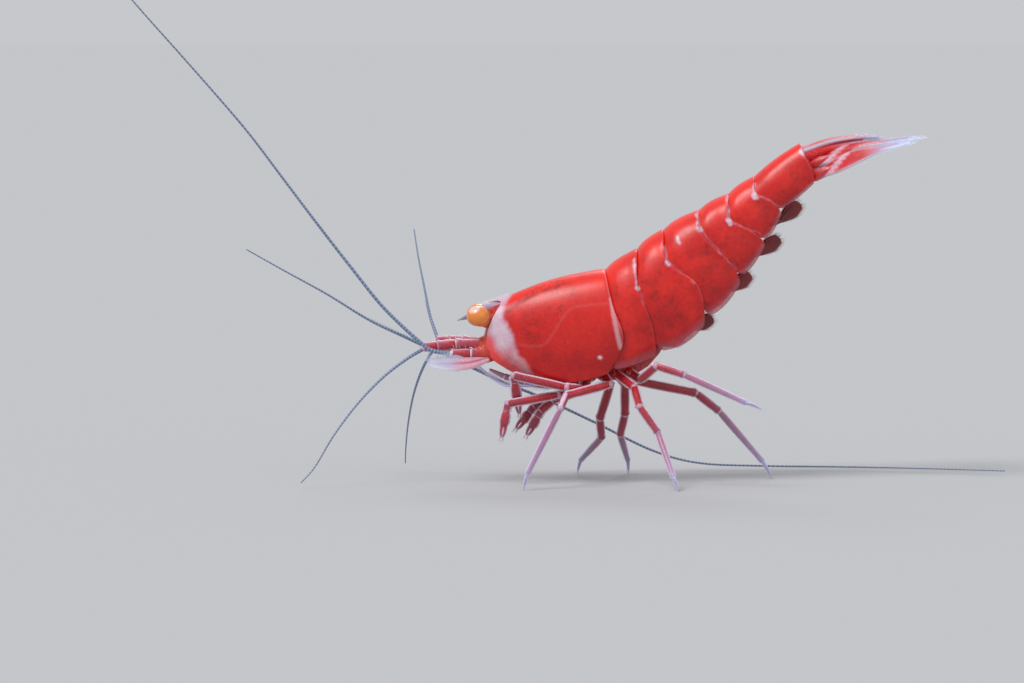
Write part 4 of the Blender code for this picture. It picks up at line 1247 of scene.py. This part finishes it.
def make_swimmeret(number, side):
    """A stem and three fringed leaves, folded back in the channel under a segment."""
    rng = random.Random(f"swimmeret {number} {side}")
    t, hang = SWIMMERETS[number]
    segment = f"abdomen_{number}"
    run = (side_point(segment, 1.0, CHANNEL_DEPTH)
           - side_point(segment, 0.0, CHANNEL_DEPTH)).normalized()
    down = Vector((run.y, -run.x))
    root = side_point(segment, t, CHANNEL_DEPTH) + down * (0.5 * PLATE + 2.0 * TOUCH)
    room = LIP * half_width(segment, t) - PLATE
    places = [root - 0.3 * down, root + (run * SWIMMERET_LENGTH + down * hang) * 0.40,
              root + run * SWIMMERET_LENGTH + down * hang]
    bm = new_bmesh()
    stem = [outward((p.x, 0.5 * room, p.y), side) for p in places]
    tube(bm, [stem[0], stem[0].lerp(stem[1], 0.5), stem[1]], STEM_SIZES, SIDEWAYS, 12,
         paddle_shade)
    for shift, size in PADDLE_LEAVES:
        start = stem[1] - (stem[1] - stem[0]) * 0.08
        end = (start + (stem[2] - start) * size + outward((0, shift, 0), side)
               + Vector((run.x, 0.0, run.y)) * TRAIL)
        path = [start, start.lerp(end, 0.5) + outward((0, 0.3 * shift, 0), side), end]
        line = leaf(bm, path, PADDLE_WIDTHS, PADDLE_ROLL + shift, 0.09, paddle_shade, steps=12,
                    sides=12)
        for edge in (-1.0, 1.0):
            fringe("underside", line, rng, 0.20, edge, 0.05, 0.35, 0.013, low=0.2)
    bmesh.ops.recalc_face_normals(bm, faces=bm.faces)
    settle(f"swimmeret_{number}_{side}_paddle", bm, FLESH,
           [f"swimmeret_{number}_{side}"])


for paddle_number in SWIMMERETS:
    for body_side in SIDES:
        make_swimmeret(paddle_number, body_side)

# %% [markdown]
# ## Rostrum
# The shell's front runs out into a saw-edged blade between the eyes.  It is a pressed tube, and
# its teeth are small cones that lean forward.  They start on the shell, behind the eyes.

# %% Rostrum and its teeth
ROSTRUM_LINE = [(-7.30, 0.0, 11.38), (-8.24, 0.0, 11.04), (-9.40, 0.0, 10.69),
                (-10.25, 0.0, 10.32), (-11.15, 0.0, 9.99)]
ROSTRUM_HEIGHTS = (0.10, 0.22, 0.31, 0.21, 0.03)
ROSTRUM_WIDTHS = (0.45, 0.58, 0.25, 0.11, 0.02)
TEETH = 12
FIRST_TOOTH, LAST_TOOTH = (-7.94, 11.49), (-9.47, 10.98)
LOWER_TEETH = (0.50, 0.62, 0.74)          # shares of the blade's length
# A tooth's root and tip, seen from its place on the blade's edge, and its radius.
UPPER_TOOTH = (Vector((0.03, 0.0, -0.13)), Vector((-0.16, 0.0, 0.16)), 0.085)
LOWER_TOOTH = (Vector((0.0, 0.0, 0.0)), Vector((-0.16, 0.0, -0.10)), 0.06)


def rostrum_shade(share, x, y):
    """Pale at its edges and tip, colourless in front and clear at the very end."""
    return {"pale": 0.5 * blur_step(0.75, 0.98, abs(y)) + 0.3 * blur_step(0.8, 1.0, share),
            "clear": 0.7 * blur_step(0.7, 1.0, share),
            "blue": 0.75 * blur_step(0.35, 0.8, share)}


def make_rostrum():
    """The blade and its two rows of teeth."""
    bm = new_bmesh()
    steps = 40
    path = [through(ROSTRUM_LINE, i / steps) for i in range(steps + 1)]
    sizes = [(value_through(ROSTRUM_WIDTHS, i / steps), value_through(ROSTRUM_HEIGHTS, i / steps))
             for i in range(steps + 1)]
    tube(bm, path, sizes, SIDEWAYS, 16, rostrum_shade)
    first, last = (Vector((x, 0.0, z)) for x, z in (FIRST_TOOTH, LAST_TOOTH))
    teeth = [(first.lerp(last, i / (TEETH - 1)), UPPER_TOOTH) for i in range(TEETH)]
    for share in LOWER_TEETH:
        place = through(ROSTRUM_LINE, share)
        place.z -= 0.8 * value_through(ROSTRUM_HEIGHTS, share)
        teeth.append((place, LOWER_TOOTH))
    for place, (root, tip, radius) in teeth:
        tooth(bm, place + root, place + tip, radius)
    bmesh.ops.recalc_face_normals(bm, faces=bm.faces)
    settle("rostrum_blade", bm, SPINE, ["rostrum"])


make_rostrum()

# %% [markdown]
# ## Eyes
# A shrimp's eye is a ball of thousands of facets on a short stalk.  The cornea is clear and
# very smooth, with orange pigment just under it, and a painted highlight makes a paler patch
# above.  The facets are far too small to model, so a fine cell pattern dimples the gloss instead.

# %% Cornea
# Real facets are about 0.02 mm wide.  They are drawn at nearly twice that, so that they show.
FACET_MM = 0.035


def cornea():
    """Clear, wet chitin over orange pigment.  The eye sees a deep glow under a sharp glint."""
    material, tree, shader = new_material("faceted_cornea")
    where = add_node(tree, "TexCoord").outputs["Object"]
    facets = add_node(tree, "TexVoronoi", {"Vector": where, "Scale": per_size(FACET_MM)})
    base = colour("EE8A28")
    # pale is the colour of the painted highlight, deep that of the rim at the stalk.
    for share, top in (("pale", "F8D8D4"), ("deep", "A03A18")):
        factor = add_node(tree, "Attribute", attribute_name=share).outputs["Fac"]
        base = add_node(tree, "Mix", {MIX_FACTOR: factor, MIX_A: base, MIX_B: colour(top)},
                        data_type="RGBA").outputs[MIX_OUT]
    bump = add_node(tree, "Bump", {"Height": facets.outputs["Distance"], "Strength": 0.15,
                                   "Distance": 0.006 * MM})
    feed(tree, shader, {
        "Base Color": base, "Normal": bump.outputs["Normal"], "Roughness": 0.18, "IOR": 1.45,
        "Coat Weight": 1.0, "Coat Roughness": 0.04, "Subsurface Weight": 0.25,
        "Subsurface Radius": (1.0, 0.5, 0.2), "Subsurface Scale": 0.3 * MM})
    return material


CORNEA = cornea()
print("finish:", CORNEA.name)

# %% Eyes and their stalks
STALK_ROOT = (-9.27, 0.62, 9.98)
EYE_STRETCH, EYE_HEIGHT = 1.08, 0.96      # the ball is a little long and a little flat
PAINTED_HIGHLIGHT_WAY = (-0.35, 0.60, 0.72)          # the way from the eye's centre to its painted highlight, outwards
STALK_SIZES = [(0.34, 0.36), (0.38, 0.40), (0.42, 0.44), (0.47, 0.49), (0.58, 0.57),
               (0.63, 0.60)]


def eyestalk_shade(share, x, y):
    # Pale near the eye and at the edges, partly a painted highlight.
    return {"pale": 0.08 + 0.40 * blur_step(0.75, 0.98, share) + 0.10 * abs(y), "low": 0.1}


def make_eye(side):
    """A ball with a painted highlight as a pale patch above and a dark rim at its stalk, and the
    stalk.
    """
    centre = outward((EYE_CENTRE.x, -EYE_CENTRE.y, EYE_CENTRE.z), side)
    root = outward(STALK_ROOT, side)
    away = (centre - root).normalized()
    patch = outward(PAINTED_HIGHLIGHT_WAY, side).normalized()
    bm = new_bmesh()
    made = bmesh.ops.create_icosphere(bm, subdivisions=5, radius=EYE_RADIUS)["verts"]
    for vert in made:
        way = vert.co.normalized()
        vert.co = centre + Vector((way.x * EYE_STRETCH, way.y, way.z * EYE_HEIGHT)) * EYE_RADIUS
        # pale is a painted highlight facing up and outwards; deep is the dark rim towards the
        # stalk.
        paint(bm, vert, pale=0.75 * blur_step(0.80, 0.95, way.dot(patch)),
              deep=0.85 * (1.0 - blur_step(-0.65, -0.20, way.dot(away))))
    settle(f"eye_{side}_cornea", bm, CORNEA, [f"eye_{side}"])
    bm = new_bmesh()
    path = [root - away * 0.8, root - away * 0.2, root]
    path += [root.lerp(centre, share) for share in (0.35, 0.62, 0.80)]
    tube(bm, path, STALK_SIZES, SIDEWAYS, 40, eyestalk_shade)
    bmesh.ops.recalc_face_normals(bm, faces=bm.faces)
    settle(f"eyestalk_{side}_skin", bm, HEAD, [f"eyestalk_{side}"])


for body_side in SIDES:
    make_eye(body_side)

# %% [markdown]
# ## Feelers
# Each short feeler has a stem of three lengths that splits in two.  The long one springs from
# a stout base beside it, above a flat scale that steers the animal.  Stems and bases are built
# like limbs, and a scale is a leaf.

# %% Places of stems, bases and scales
STEMS = {
    "left": [(-9.62, -0.46, 8.50), (-11.20, -0.50, 8.55), (-12.30, -0.52, 8.45),
             (-13.15, -0.55, 8.40)],
    "right": [(-9.74, 0.50, 8.55), (-10.75, 0.92, 8.66), (-11.60, 1.40, 8.66),
              (-12.35, 1.85, 8.62)],
}
STEM_RADII = (0.38, 0.37, 0.35, 0.30)
STEM_REACH = 0.9          # how far the root of a stem reaches back into the head,
BASE_REACH = 0.1          # and that of a long feeler's base into its knob
ANTENNA_BASES = {
    "left": [(-9.45, -1.02, 7.90), (-10.30, -1.14, 7.98), (-11.42, -1.20, 8.02)],
    "right": [(-9.45, 1.02, 7.90), (-10.20, 1.16, 7.92), (-10.98, 1.36, 7.82)],
}
BASE_RADII = (0.42, 0.40, 0.27)
SCALE_WIDTHS = (0.45, 0.95, 1.02, 0.55)
SCALE_ROLL = math.radians(50)
SPINE_AT = 14             # the step along a scale at which its side spine stands
STREAKS = 7.0             # how closely the streaks stand across a scale
SCALES = {
    "left": [(-9.25, -1.28, 7.74), (-10.4, -1.86, 7.50), (-11.6, -1.94, 7.44),
             (-12.9, -1.76, 7.50)],
    "right": [(-9.25, 1.28, 7.70), (-10.3, 1.86, 7.40), (-11.3, 1.98, 7.28),
              (-12.4, 1.90, 7.26)],
}
# Scales: leaves of chitin so thin that light passes.  The eye sees rosy glass with milky
# streaks and an almost clear end.
CLEAR = cuticle("clear_scale_cuticle", "C4566C", "98405A", "F0DCEC", "B4C6EA", clearness=0.65)
print("finish:", CLEAR.name)


# %% Build stems, bases and scales
def chain(node, joints, radii, shade, seed, root_reach):
    """A row of collared lengths, with a milky knuckle at every joint."""
    rng = random.Random(seed)
    bm = new_bmesh()
    first, second = Vector(joints[0]), Vector(joints[1])
    joints = [first + (first - second).normalized() * root_reach] + joints[1:]
    pairs = list(zip(joints, joints[1:], radii, radii[1:]))
    for i, (start, end, thick, thin) in enumerate(pairs):
        length_of_limb(bm, start, end, thick, thin, shade, flat=1.0, sides=18)
        ahead = (Vector(end) - Vector(start)).normalized()
        top = Vector(end) + Vector((0, 0, 0.9 * thin)) - ahead * 0.10
        tooth(bm, top, top + ahead * 0.22 + Vector((0, 0, 0.07)), 0.06)
        knuckle(bm, Vector(end), 0.85 * thin, pale=0.8, low=0.2)
        hairs_along(start, end, thick, rng, 6, 0.22, down=0.0)
    bmesh.ops.recalc_face_normals(bm, faces=bm.faces)
    settle(node + "_lengths", bm, LIMB, [node])


def scale_shade(share, x, y):
    """Rosy with lengthwise streaks, pale at the margins and clear at the end."""
    margin = blur_step(0.60, 0.95, abs(x))
    streak = 0.55 * abs(math.sin(STREAKS * x))
    end = blur_step(0.38, 0.80, share)
    return {"pale": max(0.6 * margin, streak), "blue": 0.9 * end,
            "clear": max(0.4 * margin, 0.9 * end), "low": 0.3}


def make_scale(side):
    """A clear leaf with a long inner fringe and one spine on its outer edge."""
    rng = random.Random("scale " + side)
    sign = SIDES[side]
    bm = new_bmesh()
    line = leaf(bm, SCALES[side], SCALE_WIDTHS, -sign * SCALE_ROLL, 0.10, scale_shade)
    fringe("clear_cuticle", line, rng, 0.40, -sign, 0.05, 0.85, 0.013, lean=1.2, **CLEAR_HAIR)
    path, across, sizes = line
    rib, edge = path[SPINE_AT], across[SPINE_AT] * sign * sizes[SPINE_AT][0]
    tooth(bm, rib + 0.75 * edge + Vector((0.25, 0.0, 0.0)),
          rib + 1.15 * edge + Vector((-0.45, 0.0, -0.04)), 0.045)
    bmesh.ops.recalc_face_normals(bm, faces=bm.faces)
    settle(f"antenna_scale_{side}_leaf", bm, CLEAR, [f"antenna_scale_{side}"])


for body_side in SIDES:
    chain(f"feeler_stem_{body_side}", STEMS[body_side], STEM_RADII,
          limb_shade(0.7, (0.0, 0.20), 0.0), "stem" + body_side, STEM_REACH)
    chain(f"antenna_base_{body_side}", ANTENNA_BASES[body_side], BASE_RADII,
          limb_shade(0.4, (0.0, 0.15), 0.0), "base" + body_side, BASE_REACH)
    make_scale(body_side)

# %% [markdown]
# ## The feelers' whips
# A feeler is a chain of hundreds of tiny ringed joints, each about twice as long as the step
# used here.  A curve with a round bevel would be smooth as wire, so the tube swells and pales
# a little at every other ring instead.  The outer short feelers also carry a comb of scent
# hairs.

# %% Lines of the feelers
FEELERS = {
    "feeler_outer_left": [(-13.15, -0.56, 8.48), (-14.30, -0.85, 9.02), (-16.50, -1.60, 10.12),
                          (-19.00, -2.50, 11.72), (-21.40, -3.30, 13.10), (-23.80, -4.00, 14.50)],
    "feeler_inner_left": [(-13.15, -0.58, 8.30), (-14.25, -0.85, 7.66), (-15.70, -1.35, 6.55),
                          (-17.20, -1.90, 5.00), (-18.60, -2.45, 3.15), (-19.75, -2.90, 1.25),
                          (-20.60, -3.20, 0.30)],
    "feeler_outer_right": [(-12.35, 1.90, 8.72), (-12.85, 2.90, 10.10), (-13.25, 4.60, 11.85),
                           (-13.65, 6.60, 13.60), (-13.95, 8.60, 15.25)],
    "feeler_inner_right": [(-12.35, 1.95, 8.50), (-13.20, 2.90, 7.10), (-13.85, 4.20, 5.35),
                           (-14.25, 5.70, 3.40), (-14.45, 7.10, 1.60), (-14.50, 8.00, 0.55)],
    "antenna_left": [(-11.40, -1.20, 8.02), (-12.50, -1.26, 8.18), (-13.30, -1.34, 8.66),
                     (-15.58, -1.70, 10.84), (-17.60, -2.05, 13.38), (-19.61, -2.40, 16.01),
                     (-21.65, -2.80, 18.76), (-23.67, -3.20, 21.47), (-25.70, -3.65, 23.90),
                     (-27.72, -4.10, 26.23), (-29.76, -4.60, 28.56), (-31.77, -5.10, 30.92),
                     (-33.60, -5.60, 33.10)],
    "antenna_right": [(-10.98, 1.38, 7.84), (-11.90, 1.95, 7.95), (-11.70, 2.80, 7.60),
                      (-10.10, 3.50, 6.80), (-8.20, 4.30, 5.85), (-6.00, 5.30, 4.90),
                      (-2.60, 6.90, 3.20), (1.00, 8.20, 1.35), (4.00, 8.80, 0.50),
                      (8.00, 9.00, 0.30), (13.00, 8.60, 0.27), (18.00, 7.40, 0.27),
                      (23.00, 5.60, 0.27)],
}
# Radius at the root, for short and for long feelers, and at every tip.
FEELER_ROOTS = {"feeler": 0.115, "antenna": 0.13}
FEELER_TIP = 0.035
RING_STEP = 0.10          # half the length of one tiny joint
SWELL = 0.05              # how much every other ring stands out
COMB_TO = 0.30            # share of the outer short feeler that carries scent hairs


# %% Build the feelers
def make_feeler(name):
    """A ringed whip that tapers from its root to a fine tip."""
    rng = random.Random(name)
    thick = FEELER_ROOTS[name.split("_")[0]]
    path = even_path(FEELERS[name], RING_STEP)
    count = len(path)
    sizes = []
    for i in range(count):
        radius = thick + (FEELER_TIP - thick) * (i / count) ** 0.6
        sizes.append((radius * (1.0 + SWELL * (i % 2)),) * 2)

    def ringed(share, x, y):
        return {"pale": 0.55 * (round(share * (count - 1)) % 2), "low": 0.5 * share}

    bm = new_bmesh()
    # A feeler may run straight sideways, so its axis is tipped a little.
    tube(bm, path, sizes, Vector((0, 1, 0.02)), 8, ringed)
    if name.startswith("feeler_outer"):
        hairs = coat("feeler")
        for i in range(2, int(count * COMB_TO)):
            root = path[i]
            tip = root + Vector((-0.22, 0.0, 0.26 + rng.uniform(0.0, 0.12)))
            bristle(hairs, root, tip, 0.012, i / count, pale=0.4, low=0.2)
    bmesh.ops.recalc_face_normals(bm, faces=bm.faces)
    settle(name + "_rings", bm, FEELER, [name])


for feeler_name in FEELERS:
    make_feeler(feeler_name)

# %% [markdown]
# ## The bristles' own pieces
# Real bristles are hollow chitin, clear or milky.  Those of one kind were gathered while the
# limbs were drawn, so each kind now becomes a single mesh with its own paint map.

# %% Settle the coats
# The finish of each slot's bristles.
COATS = {"limb": BRISTLE, "tail_fan": BRISTLE, "clear_cuticle": BRISTLE, "feeler": FEELER,
         "underside": FLESH}
for coat_slot, coat_bm in coats.items():
    bmesh.ops.recalc_face_normals(coat_bm, faces=coat_bm.faces)
    settle(coat_slot + "_bristles", coat_bm, COATS[coat_slot])
print("bristled edges:", next(next_row), "in a map of", COAT_ROWS, "rows")

# %% [markdown]
# ## Studio
# The animal stands on a plain pale floor, as for a museum plate.  The floor is far wider than
# the view, and the sky has the lit floor's own tone, so that no horizon shows.

# %% Floor
FLOOR_GREY = "BCBDBF"
FLOOR_HALF = 40.0         # metres from the middle to each edge, so that no edge shows
SKY_GREY = "C6C8CB"

# Matt painted plaster: dull and plain on purpose.  It gives the eye nothing but the shadow.
plaster, plaster_tree, plaster_shader = new_material("matt_plaster")
feed(plaster_tree, plaster_shader, {"Base Color": colour(FLOOR_GREY), "Roughness": 0.95,
                                    "Specular IOR Level": 0.0})
floor_bm = bmesh.new()
bmesh.ops.create_grid(floor_bm, x_segments=1, y_segments=1, size=FLOOR_HALF)
floor_mesh = bpy.data.meshes.new("floor")
floor_bm.to_mesh(floor_mesh)
floor_bm.free()
floor_mesh.materials.append(plaster)
floor = add_object("floor", floor_mesh)
print("floor laid, metres across:", 2 * FLOOR_HALF)

# %% [markdown]
# ## Light
# A broad key comes from above and the left, a weak fill from the front, and a rim from behind
# lights the thin edges.  All three are suns, which light near and far alike, and their wide
# angles make soft shadows.

# %% World and lamps
scene = bpy.context.scene
scene.view_settings.view_transform = "Standard"
world = bpy.data.worlds.new("studio")
world.use_nodes = True
feed(world.node_tree, world.node_tree.nodes["Background"],
     {"Color": colour(SKY_GREY), "Strength": 1.0})
scene.world = world


def soft_sun(name, way, spread, strength):
    """A lamp that shines along a direction, as soft as a wide diffuser."""
    lamp = bpy.data.lights.new(name, "SUN")
    lamp.angle = math.radians(spread)
    lamp.energy = strength
    sun = add_object(name, lamp)
    sun.rotation_euler = Vector(way).to_track_quat("-Z", "Y").to_euler()


soft_sun("key", (0.45, 0.55, -1.0), 22.0, 1.55)
soft_sun("fill", (-0.60, 0.70, -0.35), 60.0, 0.30)
soft_sun("rim", (-0.10, -0.80, -0.70), 25.0, 0.45)
print("lamps:", [lamp.name for lamp in bpy.data.lights])

# %% [markdown]
# ## Camera
# A small animal is best drawn from far off through a long lens, so that the far legs look as
# long as the near ones.  The focal length follows from the width that the view should cover.

# %% Camera
VIEW_CENTRE = Vector((-7.8, 0.0, 8.7))
VIEW_WIDTH = 62.57        # millimetres across the view, at the animal
DISTANCE = 300.0          # millimetres from the view's centre
ELEVATION = math.radians(3.5)             # how steeply it looks down
SENSOR = 36.0
lens = bpy.data.cameras.new("museum_view")
lens.sensor_width = SENSOR
lens.lens = SENSOR / VIEW_WIDTH * DISTANCE
lens.clip_start = 0.001
camera = add_object("museum_view", lens)
target = HOME + VIEW_CENTRE * MM
back = Vector((0.0, -math.cos(ELEVATION), math.sin(ELEVATION)))
camera.location = target + back * DISTANCE * MM
camera.rotation_euler = (target - camera.location).to_track_quat("-Z", "Y").to_euler()
scene.camera = camera
print("camera height above the floor, mm:", camera.location.z * 1000)
